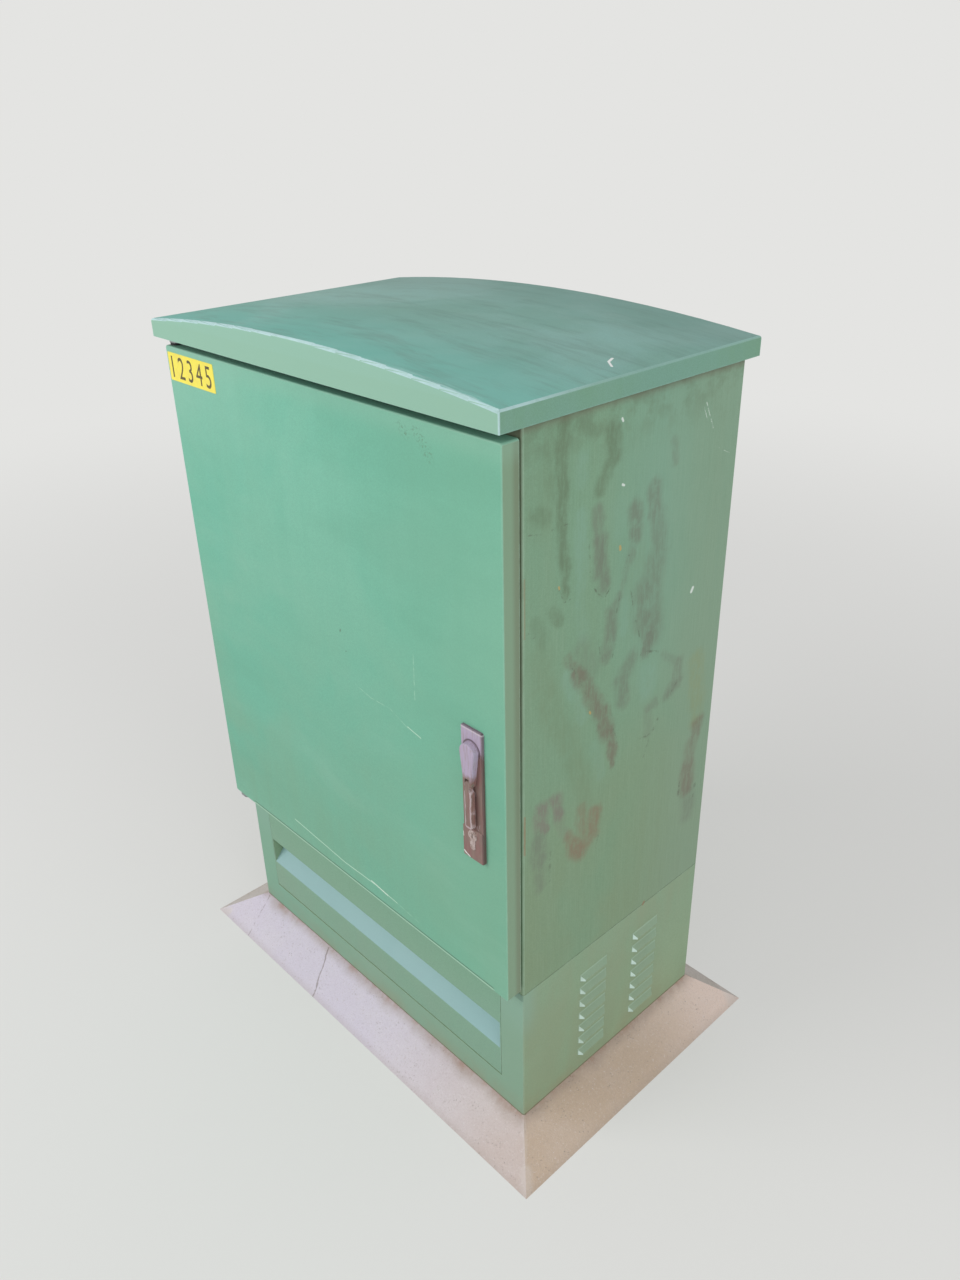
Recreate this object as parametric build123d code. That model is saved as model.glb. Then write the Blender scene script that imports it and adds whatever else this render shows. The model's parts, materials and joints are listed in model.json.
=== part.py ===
from build123d import *
import os
from math import atan2, cos, pi, radians, sin, sqrt, tan

# Roadside cabinet of folded steel sheet on a concrete base. Millimetres, +Z up, the front faces -Y.
# The origin is the middle of the base's underside.

# Concrete base with its sloped apron
base_width = 910
base_depth = 576
base_height = 50
front_apron = 76
cable_opening_width = 560
cable_opening_depth = 240

# Body, with the plinth below a seam and the side panels above it
body_width = 750
body_depth = 434
plinth_height = 270
panel_height = 890
sheet = 2
bend_radius = 4

# Plinth
plinth_sheet = 2.5
plinth_corner_radius = 4
plinth_rim_radius = 2
plinth_foot_flange = 45
plinth_top_flange = 40
stile_width = 50
lower_rail_height = 53
upper_rail_height = 12

# Louvres pressed out of the plinth's sides
louvre_count = 7
louvre_pitch = 28.5
louvre_length = 66
louvre_height = 13
louvre_reach = 7
louvre_lip = 3
louvre_end_run = 7
louvre_wall = 1.4
louvre_first = 36
louvre_columns_apart = 132
louvre_set_back = 11

# Front cover of the plinth, with a folded recess across it
cover_gap = 0.8
cover_return = 14
cover_end_depth = 26
cover_bend = 3
recess_low = 62
recess_apex = 88
recess_high = 119
recess_depth = 22
hook_width = 40
hook_drop = 12
hook_spread = 400
cover_screw_spread = 560
cover_screw_drop = 10
cover_lug_width = 22

# Door opening and its frame
frame_flange = 30
frame_lip = 14
rear_flange = 25
bottom_flange = 40
sill_height = 37
head_height = 48
back_panel_gap = 1
back_screw_count = 4
back_screw_end = 71

# Door
door_lift = 13
door_head_gap = 24
door_depth = 28
door_gap = 5
door_flange = 25
door_corner_radius = 4
door_edge_radius = 2.5
stiffener_width = 40
stiffener_depth = 20
stiffener_foot = 14
stiffener_spread = 300
stiffener_end_gap = 1
stiffener_bend = 3

# Seal on the back of the door
seal_inset = 12
seal_width = 10
seal_clearance = 0.3

# Pin hinges under and over the door
hinge_inset = 11
hinge_set_in = 14
hinge_plate = 5
hinge_plate_width = 21
hinge_plate_inset = 5
hinge_nose = 10
hinge_nose_radius = 5
hinge_leaf_height = 42
hinge_slot_clearance = 0.3
hinge_pin_radius = 5
hinge_running_clearance = 0.05
hinge_bush_radius = 7
hinge_bush_flange_radius = 9
hinge_bush_reach = 6
hinge_thrust_gap = 0.2
hinge_pin_reach = 8

# Roof lid, arched across its width
roof_side_overhang = 9
roof_front_overhang = 45
roof_rear_overhang = 18
roof_drop = 10
roof_skirt = 27
roof_crown = 23
roof_edge_radius = 4
bearer_width = 660
bearer_foot = 24
bearer_spread = 300
roof_bolt_spread = 560
vent_slot_length = 60
vent_slot_width = 8
vent_slot_pitch = 90
vent_slot_count = 6
vent_rows_apart = 120

# Inside fittings
floor_slot = 50
floor_overlap = 11.5
trim_wall = 2.5
trim_grip = 5
trim_height = 9
trim_length = 620
cross_bar_height = 40
cross_bar_depth = 20
lower_bar_level = 120
upper_bar_drop = 90
bar_set_back = 332
channel_count = 3
channel_pitch = 190
channel_width = 110
channel_depth = 30
channel_overrun = 20
block_pitch = 140
block_width = 126
block_height = 118
block_depth = 34
block_recess = 12
block_groove = 4
contact_columns = 10
contact_rows = 2
contact_slot_width = 3
contact_slot_height = 36
contact_slot_depth = 5
contact_slot_pitch = 11
contact_row_pitch = 54
equipment_hole_radius = 3.3
equipment_hole_spread = 600
channel_screw_radius = 2.5
cable_bar_level = 70
cable_bar_height = 30
cable_bar_depth = 14
cable_bar_set_back = 272
earth_bar_length = 260
earth_bar_height = 25
earth_bar_thickness = 5
earth_bar_level = 62
earth_stand_off = 30
earth_stand_off_radius = 8
earth_hole_radius = 4.25
earth_hole_pitch = 50
earth_hole_count = 4
earth_screw_radius = 3

# Swing handle, with its spindle axis on the door
handle_inset = 59.5
handle_level = 423
handle_plate_width = 41
handle_plate_length = 218
handle_plate_above = 34
handle_plate_thickness = 4
handle_plate_corner = 3
handle_plate_edge = 1.5
plate_screw_drop = 90
plate_screw_lift = 8.5
lock_housing_length = 54
lock_housing_reach = 6
lock_housing_edge = 1.5
boss_radius = 14
boss_thickness = 10
boss_edge_radius = 2.5
boss_gap = 0.4
pivot_drop = 50
fork_radius = 7.7
fork_slot = 8.4
fork_slot_above = 9
lever_pin_radius = 2.5
lever_pin_set_in = 0.5
lever_running_clearance = 0.05
lever_eye_width = 8
lever_thickness = 7.8
lever_width = 14
lever_shoulder_drop = 10
lever_length = 76
lever_end_radius = 6.5
lever_edge_radius = 2
spindle_radius = 6
spindle_running_clearance = 0.05
spindle_square = 8.4
spindle_hole_clearance = 2

# Key cylinder below the lever
cylinder_below_axis = 141
cylinder_radius = 8.5
cylinder_web = 10
cylinder_height = 33
cylinder_proud = 1
cylinder_length = 30
plug_radius = 6.5
plug_running_clearance = 0.05
plug_proud = 0.5
key_slot_width = 1.4
key_slot_height = 9
key_slot_depth = 8

# Lock gear: one pinion between two racks
gear_module = 1.75
pinion_teeth = 12
pressure_angle = 25
tooth_backlash = 0.15
root_clearance = 0.35
gear_width = 8
flank_steps = 4
rod_width = 7
rod_clearance = 0.3
rod_behind_frame = 2
rack_teeth = 7
rack_lead = 3
rod_throw = 13
rod_tip_chamfer = 2
case_wall = 2
case_half_height = 35
case_tube_radius = 10
case_tab = 16
case_tube_gap = 0.5
case_rear_gap = 1
case_screw_head_radius = 4.5
guide_from_end = 45
guide_sheet = 3
guide_base = 30
guide_side = 8

# Fasteners
anchor_radius = 6
anchor_buried = 30
anchor_stand = 26
anchor_nut_flats = 18
anchor_nut_height = 10
anchor_washer_radius = 12
anchor_washer_height = 2.5
anchor_inset = 26
body_bolt_radius = 4
body_bolt_flats = 13
body_bolt_head = 5.3
body_bolt_inset = 14
body_bolt_end = 42
body_bolt_over = 4
body_nut_height = 6.5
bolt_hole_clearance = 0.5
small_screw_radius = 3
small_screw_head_radius = 5.5
small_screw_head = 3
slot_width = 1.6
stud_radius = 2.5

# Places that follow from the sizes above
front = front_apron - base_depth / 2
rear = front + body_depth
middle = (front + rear) / 2
half_width = body_width / 2
seam = base_height + plinth_height
body_top = seam + panel_height
door_bottom = seam + door_lift
door_height = panel_height - door_lift - door_head_gap
door_top = door_bottom + door_height
door_middle = (door_bottom + door_top) / 2
door_back = front - door_gap
door_face = door_back - door_depth
opening_top = body_top - head_height
opening_bottom = seam + sill_height
opening_half = half_width - frame_flange
hinge_x = hinge_inset - half_width
hinge_y = door_back - hinge_set_in
handle_x = half_width - handle_inset
handle_z = door_bottom + handle_level
plate_face = door_face - handle_plate_thickness
boss_back = plate_face - boss_gap
lever_back = door_face - lock_housing_reach - boss_gap
pivot_y = lever_back - lever_thickness / 2
pivot_z = handle_z - pivot_drop
cylinder_z = handle_z - cylinder_below_axis
rod_front = front + sheet + rod_behind_frame
rod_back = rod_front + gear_width
rod_y = (rod_front + rod_back) / 2
pitch_radius = gear_module * pinion_teeth / 2
tooth_pitch = pi * gear_module
rack_root = pitch_radius + gear_module + root_clearance
rack_back = rack_root + rod_width
bar_front = front + bar_set_back
upper_bar_level = panel_height - upper_bar_drop
low = (Align.CENTER, Align.CENTER, Align.MIN)


def box(x_low, x_high, y_low, y_high, z_low, z_high):
    """A block given by its two ends on each axis."""
    size = Box(x_high - x_low, y_high - y_low, z_high - z_low)
    return Pos((x_low + x_high) / 2, (y_low + y_high) / 2, (z_low + z_high) / 2) * size


def upright(x, y, z_low, z_high, radius):
    """A round bar along Z."""
    return Pos(x, y, z_low) * Cylinder(radius, z_high - z_low, align=low)


def along_y(x, y_low, y_high, z, radius):
    """A round bar along Y."""
    return Pos(x, y_low, z) * Rot(-90, 0, 0) * Cylinder(radius, y_high - y_low, align=low)


def along_x(x_low, x_high, y, z, radius):
    """A round bar along X."""
    return Pos(x_low, y, z) * Rot(0, 90, 0) * Cylinder(radius, x_high - x_low, align=low)


def slab(outline, y_low, y_high):
    """An outline drawn as seen from the front, X right and Z up, made a plate from y_low to y_high."""
    plane = Plane(origin=(0, y_high, 0), x_dir=(1, 0, 0), z_dir=(0, -1, 0))
    return extrude(plane * outline, amount=y_high - y_low)


def folded(points, radius, thickness, side):
    """The section of a folded sheet, from the line of its outer corners."""
    line = FilletPolyline(*points, radius=radius).wire()
    return Face(line.offset_2d(thickness, side=side, closed=True))


def folded_across(points, radius, thickness, side, reach):
    """A folded sheet that runs along X from -reach to reach. Its section is given as (y, z)."""
    end = Plane(origin=(-reach, 0, 0), x_dir=(0, 1, 0), z_dir=(1, 0, 0))
    section = end * folded(points, radius, thickness, side)
    return extrude(section, amount=2 * reach, dir=(1, 0, 0))


def folded_upright(points, radius, thickness, side, z_low, z_high):
    """A folded sheet that stands from z_low to z_high. Its section is given as (x, y)."""
    section = folded(points, radius, thickness, side)
    return Pos(0, 0, z_low) * extrude(section, amount=z_high - z_low, dir=(0, 0, 1))


def hexagon(x, y, z_low, z_high, flats):
    """A hexagonal nut or bolt head along Z."""
    outline = RegularPolygon(flats / 2, 6, major_radius=False)
    return Pos(x, y, z_low) * extrude(outline, amount=z_high - z_low)


def mirrored(shape):
    return mirror(shape, about=Plane.YZ)


def corners(x_reach, y_low, y_high):
    return [(x, y) for x in (-x_reach, x_reach) for y in (y_low, y_high)]


# Base and plinth

anchor_places = corners(half_width - anchor_inset, front + anchor_inset, rear - anchor_inset)
foot_top = base_height + plinth_sheet
body_bolt_places = [
    (side * (half_width - body_bolt_inset), y)
    for side in (-1, 1)
    for y in (front + body_bolt_end, middle, rear - body_bolt_end)
]


def concrete_base():
    foot = Rectangle(base_width, base_depth)
    top = Pos(0, middle, base_height) * Rectangle(body_width, body_depth)
    block = loft([foot.face(), top.face()])
    block -= Pos(0, middle, -1) * Box(cable_opening_width, cable_opening_depth, base_height + 2, align=low)
    for x, y in anchor_places:
        block -= upright(x, y, base_height - anchor_buried, base_height + 1, anchor_radius)
    return block


def anchor_studs():
    low_z = base_height - anchor_buried
    top = foot_top + anchor_stand
    return Compound([upright(x, y, low_z, top, anchor_radius) for x, y in anchor_places])


def anchor_washers():
    top = foot_top + anchor_washer_height
    return Compound(
        [
            upright(x, y, foot_top, top, anchor_washer_radius) - upright(x, y, foot_top, top, anchor_radius)
            for x, y in anchor_places
        ]
    )


def anchor_nuts():
    low_z = foot_top + anchor_washer_height
    high_z = low_z + anchor_nut_height
    return Compound(
        [
            hexagon(x, y, low_z, high_z, anchor_nut_flats) - upright(x, y, low_z, high_z, anchor_radius)
            for x, y in anchor_places
        ]
    )


def louvre_block(length, height, drop, reach, lip, run, thickness):
    """A tapered block on the outside of the right wall, flat below, with its own part inside the wall."""
    wall = Plane(origin=(half_width, 0, 0), x_dir=(0, 1, 0), z_dir=(1, 0, 0))
    grow = (Align.CENTER, Align.MIN)
    foot = wall * Pos(0, -drop) * Rectangle(length, height + drop, align=grow)
    crest = wall.offset(reach) * Pos(0, -drop) * Rectangle(length - 2 * run, lip + drop, align=grow)
    return loft([foot.face(), crest.face()]) + extrude(foot, amount=-thickness)


def louvre_places():
    centre = middle + louvre_set_back
    return [
        (centre + column * louvre_columns_apart / 2, base_height + louvre_first + row * louvre_pitch)
        for column in (-1, 1)
        for row in range(louvre_count)
    ]


def plinth_frame():
    outline = RectangleRounded(body_width, body_depth, plinth_corner_radius)
    hollow = Rectangle(body_width - 2 * plinth_sheet, body_depth - 2 * plinth_sheet)
    foot_hole = Rectangle(body_width - 2 * plinth_foot_flange, body_depth - 2 * plinth_foot_flange)
    top_hole = Rectangle(body_width - 2 * plinth_top_flange, body_depth - 2 * plinth_top_flange)
    shell = extrude(outline, amount=plinth_height)
    shell = fillet(shell.faces().sort_by(Axis.Z)[-1].outer_wire().edges(), plinth_rim_radius)
    shell -= Pos(0, 0, plinth_sheet) * extrude(hollow, amount=plinth_height - 2 * plinth_sheet)
    shell -= extrude(foot_hole, amount=plinth_sheet)
    shell -= Pos(0, 0, plinth_height - plinth_sheet) * extrude(top_hole, amount=plinth_sheet)
    shell = Pos(0, middle, base_height) * shell
    opening = half_width - stile_width
    sill = base_height + lower_rail_height
    shell -= box(-opening, opening, front - 1, front + plinth_sheet, sill, seam - upper_rail_height)

    outer = louvre_block(
        louvre_length, louvre_height, 0, louvre_reach, louvre_lip, louvre_end_run, plinth_sheet
    )
    inner = louvre_block(
        louvre_length - 2 * louvre_wall - 1,
        louvre_height - 2 * louvre_wall,
        1,
        louvre_reach - louvre_wall,
        louvre_lip - louvre_wall,
        louvre_end_run - 1,
        plinth_sheet + 1,
    )
    hoods = [Pos(0, y, z) * outer for y, z in louvre_places()]
    hollows = [Pos(0, y, z) * inner for y, z in louvre_places()]
    shell += hoods + [mirrored(hood) for hood in hoods]
    shell -= hollows + [mirrored(hollow) for hollow in hollows]

    for x, y in anchor_places:
        shell -= upright(x, y, base_height, foot_top, anchor_radius + bolt_hole_clearance)
    for x, y in body_bolt_places:
        shell -= upright(x, y, seam - plinth_sheet, seam, body_bolt_radius + bolt_hole_clearance)
    lug_front = front + cover_end_depth
    lug_back = lug_front + plinth_sheet
    half = cover_lug_width / 2
    for x, z in cover_screw_places():
        lug = box(x - half, x + half, lug_front, lug_back, z - cover_screw_drop, seam - plinth_sheet)
        shell += lug - along_y(x, front, lug_back, z, small_screw_radius)
    return shell


cover_bottom = base_height + lower_rail_height + cover_gap
cover_top = seam - upper_rail_height - cover_gap
cover_half = half_width - stile_width - cover_gap


def cover_screw_places():
    level = seam - upper_rail_height - cover_screw_drop
    return [(-cover_screw_spread / 2, level), (cover_screw_spread / 2, level)]


def plinth_cover():
    line = [
        (front + cover_return, cover_bottom),
        (front, cover_bottom),
        (front, base_height + lower_rail_height + recess_low),
        (front + recess_depth, base_height + lower_rail_height + recess_apex),
        (front, base_height + lower_rail_height + recess_high),
        (front, cover_top),
        (front + cover_return, cover_top),
    ]
    cover = folded_across(line, cover_bend, sheet, Side.RIGHT, cover_half)
    end = Rectangle(cover_end_depth, cover_top - cover_bottom)
    end = fillet(end.vertices().sort_by(Axis.X)[:2], cover_bend)
    end = Pos(front + cover_end_depth / 2, (cover_bottom + cover_top) / 2) * end
    for x in (-cover_half, cover_half - sheet):
        across = Plane(origin=(x, 0, 0), x_dir=(0, 1, 0), z_dir=(1, 0, 0))
        cover += extrude(across * end, amount=sheet, dir=(1, 0, 0))
    for x in (-hook_spread / 2, hook_spread / 2):
        back = front + cover_return
        low_z = cover_bottom - hook_drop
        high_z = cover_bottom + sheet
        cover += box(x - hook_width / 2, x + hook_width / 2, back - sheet, back, low_z, high_z)
    for x, z in cover_screw_places():
        cover -= along_y(x, front - 1, front + 2 * sheet, z, small_screw_radius + bolt_hole_clearance)
    return cover


def slotted_screw(x, y_seat, y_end, z, facing):
    """A round slotted screw along Y. Its head stands on y_seat towards facing, -1 for the front."""
    head_end = y_seat + facing * small_screw_head
    head = along_y(x, min(y_seat, head_end), max(y_seat, head_end), z, small_screw_head_radius)
    shank = along_y(x, min(y_seat, y_end), max(y_seat, y_end), z, small_screw_radius)
    slot = Pos(x, head_end, z) * Box(4 * small_screw_head_radius, slot_width, slot_width)
    return head + shank - slot


def cover_screws():
    end = front + cover_end_depth + 2 * plinth_sheet
    return Compound([slotted_screw(x, front, end, z, -1) for x, z in cover_screw_places()])


# Body panels

def hinge_slot(z_low):
    """The slot in the left panel's front flange that lets a hinge bracket through."""
    c = hinge_slot_clearance
    left = -half_width + hinge_plate_inset - c
    right = left + hinge_plate_width + 2 * c
    return box(left, right, front - 1, front + sheet + 1, z_low - c, z_low + hinge_plate + c)


lower_hinge_z = door_bottom - hinge_plate - door_gap
upper_hinge_z = door_top + door_gap


def side_panel(side):
    points = [
        (opening_half, front + frame_lip),
        (opening_half, front),
        (half_width, front),
        (half_width, rear),
        (half_width - rear_flange, rear),
    ]
    panel = folded_upright(points, bend_radius, sheet, Side.LEFT, seam, body_top)
    shelf_front = front + sheet + bend_radius
    shelf_back = rear - 2 * bend_radius
    shelf_out = half_width - sheet / 2
    panel += box(half_width - bottom_flange, shelf_out, shelf_front, shelf_back, seam, seam + sheet)
    for x, y in body_bolt_places:
        if x > 0:
            panel -= upright(x, y, seam, seam + sheet, body_bolt_radius + bolt_hole_clearance)
    if side > 0:
        return panel
    panel = mirrored(panel)
    panel -= hinge_slot(lower_hinge_z)
    panel -= hinge_slot(upper_hinge_z)
    return panel


def sill_rail():
    line = [
        (front, opening_bottom),
        (front, seam),
        (front + plinth_top_flange, seam),
    ]
    rail = folded_across(line, bend_radius, sheet, Side.LEFT, opening_half)
    shelf_edge = half_width - bottom_flange
    ledge_front = front + sheet + bend_radius
    ledge_back = front + plinth_top_flange
    for x_low, x_high in ((-opening_half, -shelf_edge), (shelf_edge, opening_half)):
        rail -= box(x_low, x_high, ledge_front, ledge_back, seam, seam + sheet)
    return rail


def back_panel():
    line = [
        (rear - sheet - rear_flange, seam),
        (rear - sheet, seam),
        (rear - sheet, body_top),
        (rear - sheet - rear_flange, body_top),
    ]
    panel = folded_across(line, bend_radius, sheet, Side.LEFT, half_width - bottom_flange - back_panel_gap)
    edge = half_width - bend_radius - sheet
    panel += box(-edge, edge, rear - 2 * sheet, rear - sheet, seam + 2 * sheet, body_top - 2 * sheet)
    return panel


back_screw_pitch = (panel_height - 2 * back_screw_end) / (back_screw_count - 1)
back_screw_levels = [seam + back_screw_end + n * back_screw_pitch for n in range(back_screw_count)]


def back_screw_places():
    reach = half_width - rear_flange / 2
    return [(x, z) for x in (-reach, reach) for z in back_screw_levels]


def back_panel_screws():
    return Compound([slotted_screw(x, rear, rear - 4 * sheet, z, 1) for x, z in back_screw_places()])


def drilled_for_back_screws(panel):
    for x, z in back_screw_places():
        panel -= along_y(x, rear - 2 * sheet - 1, rear + 1, z, small_screw_radius)
    return panel


def arch(y_low, y_high, half, bottom, edge, crown):
    """A block with an arched top: flat below, upright sides up to edge, and a round arch over them."""
    top = ThreePointArc((-half, edge), (0, crown), (half, edge))
    rest = Polyline((half, edge), (half, bottom), (-half, bottom), (-half, edge))
    return slab(make_face(top + rest), y_low, y_high)


roof_bottom = body_top - roof_drop
roof_edge = roof_bottom + roof_skirt
roof_top = roof_edge + roof_crown
roof_half = half_width + roof_side_overhang
roof_front = front - roof_front_overhang
roof_rear = rear + roof_rear_overhang
arch_radius = (roof_half ** 2 + roof_crown ** 2) / (2 * roof_crown)
bearer_places = (middle - bearer_spread / 2, middle + bearer_spread / 2)
roof_bolt_reach = (-roof_bolt_spread / 2, roof_bolt_spread / 2)
roof_bolt_places = [(x, y + bearer_foot / 2) for x in roof_bolt_reach for y in bearer_places]


def underside(x):
    """Height of the roof's inner face at x."""
    return roof_top - arch_radius + sqrt((arch_radius - sheet) ** 2 - x ** 2)


def roof_lid():
    shell = arch(roof_front, roof_rear, roof_half, roof_bottom, roof_edge, roof_top)
    rim = [e for e in shell.edges() if e.center().Z > roof_edge - 1 and not e.is_closed]
    shell = fillet(rim, roof_edge_radius)
    inside = roof_half - sheet
    hollow = arch(
        roof_front + sheet, roof_rear - sheet, inside, roof_bottom - 1, underside(inside), roof_top - sheet
    )
    return shell - hollow


def roof_bearer(y):
    """An upright web whose top follows the roof, on a foot that is bolted to the top plate."""
    half = bearer_width / 2
    seat = body_top + sheet
    web = arch(y - sheet / 2, y + sheet / 2, half, seat, underside(half), roof_top - sheet)
    bearer = web + box(-half, half, y - sheet / 2, y + bearer_foot, seat, seat + sheet)
    for x in roof_bolt_reach:
        hole = body_bolt_radius + bolt_hole_clearance
        bearer -= upright(x, y + bearer_foot / 2, seat, seat + sheet, hole)
    return bearer


def roof_bearers():
    return Compound([roof_bearer(y) for y in bearer_places])


def roof_bolts():
    bolts = []
    nut_low = body_top + 2 * sheet
    nut_high = nut_low + body_nut_height
    for x, y in roof_bolt_places:
        shank = upright(x, y, body_top, nut_high, body_bolt_radius)
        bolts.append(hexagon(x, y, body_top - body_bolt_head, body_top, body_bolt_flats) + shank)
        bolts.append(hexagon(x, y, nut_low, nut_high, body_bolt_flats) - shank)
    return Compound(bolts)


def top_plate():
    """The body's top, with the head of the door opening folded down in front and a flange at each side."""
    plate = box(-half_width, half_width, front, rear, body_top, body_top + sheet)
    plate += box(-opening_half, opening_half, front, front + sheet, opening_top, body_top)
    inside = half_width - sheet
    flange_front = front + 2 * frame_lip
    flange_back = rear - 2 * rear_flange
    for x in (-inside, inside - sheet):
        plate += box(x, x + sheet, flange_front, flange_back, body_top - rear_flange, body_top)
    for x, y in roof_bolt_places:
        plate -= upright(x, y, body_top, body_top + sheet, body_bolt_radius + bolt_hole_clearance)
    slots = GridLocations(vent_slot_pitch, vent_rows_apart, vent_slot_count, 2)
    cut = extrude(Sketch() + slots * SlotOverall(vent_slot_length, vent_slot_width), amount=sheet)
    return plate - Pos(0, middle, body_top) * cut


def body_bolts():
    bolts = []
    for x, y in body_bolt_places:
        seat = seam + sheet
        head = hexagon(x, y, seat, seat + body_bolt_head, body_bolt_flats)
        low_z = seam - plinth_sheet - body_nut_height - body_bolt_over
        bolts.append(head + upright(x, y, low_z, seat, body_bolt_radius))
    return Compound(bolts)


def body_nuts():
    nuts = []
    high_z = seam - plinth_sheet
    low_z = high_z - body_nut_height
    for x, y in body_bolt_places:
        bore = upright(x, y, low_z, high_z, body_bolt_radius)
        nuts.append(hexagon(x, y, low_z, high_z, body_bolt_flats) - bore)
    return Compound(nuts)


# Inside fittings

floor_top = seam + 2 * sheet


def floor_plate(side):
    """Half of the floor, in front of the cable slot for side -1 and behind it for side 1."""
    half = half_width - bottom_flange + floor_overlap
    slot_edge = middle + side * floor_slot / 2
    outer = front + plinth_top_flange / 2 if side < 0 else rear - rear_flange / 2 - 2 * sheet
    return box(-half, half, min(slot_edge, outer), max(slot_edge, outer), seam + sheet, floor_top)


def cable_slot_trim(side):
    """A rubber strip over the slot's edge of one floor plate."""
    edge = middle + side * floor_slot / 2
    inner = edge - side * trim_wall
    outer = edge + side * trim_grip
    low_z = (seam + sheet + floor_top - trim_height) / 2
    half = trim_length / 2
    strip = box(-half, half, min(inner, outer), max(inner, outer), low_z, low_z + trim_height)
    return strip - box(-half - 1, half + 1, min(edge, outer), max(edge, outer), seam + sheet, floor_top)


def cable_slot_trims():
    return Compound([cable_slot_trim(-1), cable_slot_trim(1)])


def channel_places():
    return [(n - (channel_count - 1) / 2) * channel_pitch for n in range(channel_count)]


def open_bar(y, z, depth, height):
    """A bar between the side panels, with its web at the front and two flanges towards the back."""
    points = [
        (y + depth, z + height / 2),
        (y, z + height / 2),
        (y, z - height / 2),
        (y + depth, z - height / 2),
    ]
    return folded_across(points, bend_radius, sheet, Side.LEFT, half_width - sheet)


def cross_bar(level):
    bar = open_bar(bar_front, seam + level, cross_bar_depth, cross_bar_height)
    for x in (-equipment_hole_spread / 2, equipment_hole_spread / 2):
        bar -= along_y(x, bar_front - 1, bar_front + sheet + 1, seam + level, equipment_hole_radius)
    for x in channel_places():
        bar -= along_y(x, bar_front - 1, bar_front + sheet + 1, seam + level, channel_screw_radius)
    return bar


def cable_bar():
    return open_bar(front + cable_bar_set_back, seam + cable_bar_level, cable_bar_depth, cable_bar_height)


channel_bottom = seam + lower_bar_level - cross_bar_height / 2 - channel_overrun
channel_top = seam + upper_bar_level + cross_bar_height / 2 + channel_overrun
block_count = int((channel_top - channel_bottom) / block_pitch)


def mounting_channel(x):
    points = [
        (x - channel_width / 2, bar_front - channel_depth),
        (x - channel_width / 2, bar_front),
        (x + channel_width / 2, bar_front),
        (x + channel_width / 2, bar_front - channel_depth),
    ]
    channel = folded_upright(points, bend_radius, sheet, Side.RIGHT, channel_bottom, channel_top)
    for level in (lower_bar_level, upper_bar_level):
        channel -= along_y(x, bar_front - sheet - 1, bar_front + 1, seam + level, channel_screw_radius)
    return channel


def channel_screws():
    screws = []
    for x in channel_places():
        for level in (lower_bar_level, upper_bar_level):
            z = seam + level
            seat = bar_front - sheet
            head = along_y(x, seat - small_screw_head, seat, z, small_screw_head_radius)
            screws.append(head + along_y(x, seat, bar_front + 2 * sheet, z, channel_screw_radius))
    return Compound(screws)


def connection_block():
    """One block of contact slots, centred on X and Z, seated on a channel's two front edges."""
    seat = bar_front - channel_depth
    face = seat - block_depth
    block = box(-block_width / 2, block_width / 2, face, seat, -block_height / 2, block_height / 2)
    recess = channel_width / 2 - 2 * sheet
    block -= box(-recess, recess, seat - block_recess, seat, -block_height, block_height)
    slots = GridLocations(contact_slot_pitch, contact_row_pitch, contact_columns, contact_rows)
    outline = Sketch() + slots * Rectangle(contact_slot_width, contact_slot_height)
    block -= slab(outline, face, face + contact_slot_depth)
    groove = block_groove / 2
    block -= box(-block_width, block_width, face, face + contact_slot_depth, -groove, groove)
    return block


def connection_blocks(x):
    block = connection_block()
    centre = (channel_bottom + channel_top) / 2
    blocks = []
    for n in range(block_count):
        z = centre + (n - (block_count - 1) / 2) * block_pitch
        blocks.append(Pos(x, 0, z) * block)
    return Compound(blocks)


earth_bar_z = seam + earth_bar_level
earth_bar_back = rear - 2 * sheet - earth_stand_off
earth_reach = earth_bar_length / 2 - earth_bar_height / 2


def earth_bar():
    bar = box(
        -earth_bar_length / 2,
        earth_bar_length / 2,
        earth_bar_back - earth_bar_thickness,
        earth_bar_back,
        earth_bar_z - earth_bar_height / 2,
        earth_bar_z + earth_bar_height / 2,
    )
    cut_front = earth_bar_back - earth_bar_thickness - 1
    for x in (-earth_reach, earth_reach):
        bar -= along_y(x, cut_front, earth_bar_back + 1, earth_bar_z, earth_screw_radius)
    for n in range(earth_hole_count):
        x = (n - (earth_hole_count - 1) / 2) * earth_hole_pitch
        bar -= along_y(x, cut_front, earth_bar_back + 1, earth_bar_z, earth_hole_radius)
    return bar


def earth_bar_insulators():
    posts = []
    bore_end = earth_bar_back + earth_stand_off / 2
    for x in (-earth_reach, earth_reach):
        post = along_y(x, earth_bar_back, rear - 2 * sheet, earth_bar_z, earth_stand_off_radius)
        posts.append(post - along_y(x, earth_bar_back, bore_end, earth_bar_z, earth_screw_radius))
    return Compound(posts)


def earth_bar_screws():
    screws = []
    for x in (-earth_reach, earth_reach):
        face = earth_bar_back - earth_bar_thickness
        head = along_y(x, face - small_screw_head, face, earth_bar_z, small_screw_head_radius)
        shank = along_y(x, face, earth_bar_back + earth_stand_off / 2, earth_bar_z, earth_screw_radius)
        screws.append(head + shank)
    return Compound(screws)


# Door, seal and hinges

def door_outline(inset, radius):
    width = body_width - 2 * inset
    height = door_height - 2 * inset
    shape = RectangleRounded(width, height, radius) if radius > 0 else Rectangle(width, height)
    return Pos(0, door_middle) * shape


def key_profile(grow):
    """The outline of the key cylinder: a round head over a narrower web with a round foot."""
    head = Circle(cylinder_radius + grow)
    foot_drop = cylinder_height - cylinder_radius - cylinder_web / 2
    web = Pos(0, -foot_drop / 2) * Rectangle(cylinder_web + 2 * grow, foot_drop)
    foot = Pos(0, -foot_drop) * Circle(cylinder_web / 2 + grow)
    return Pos(handle_x, cylinder_z) * (head + web + foot)


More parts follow.
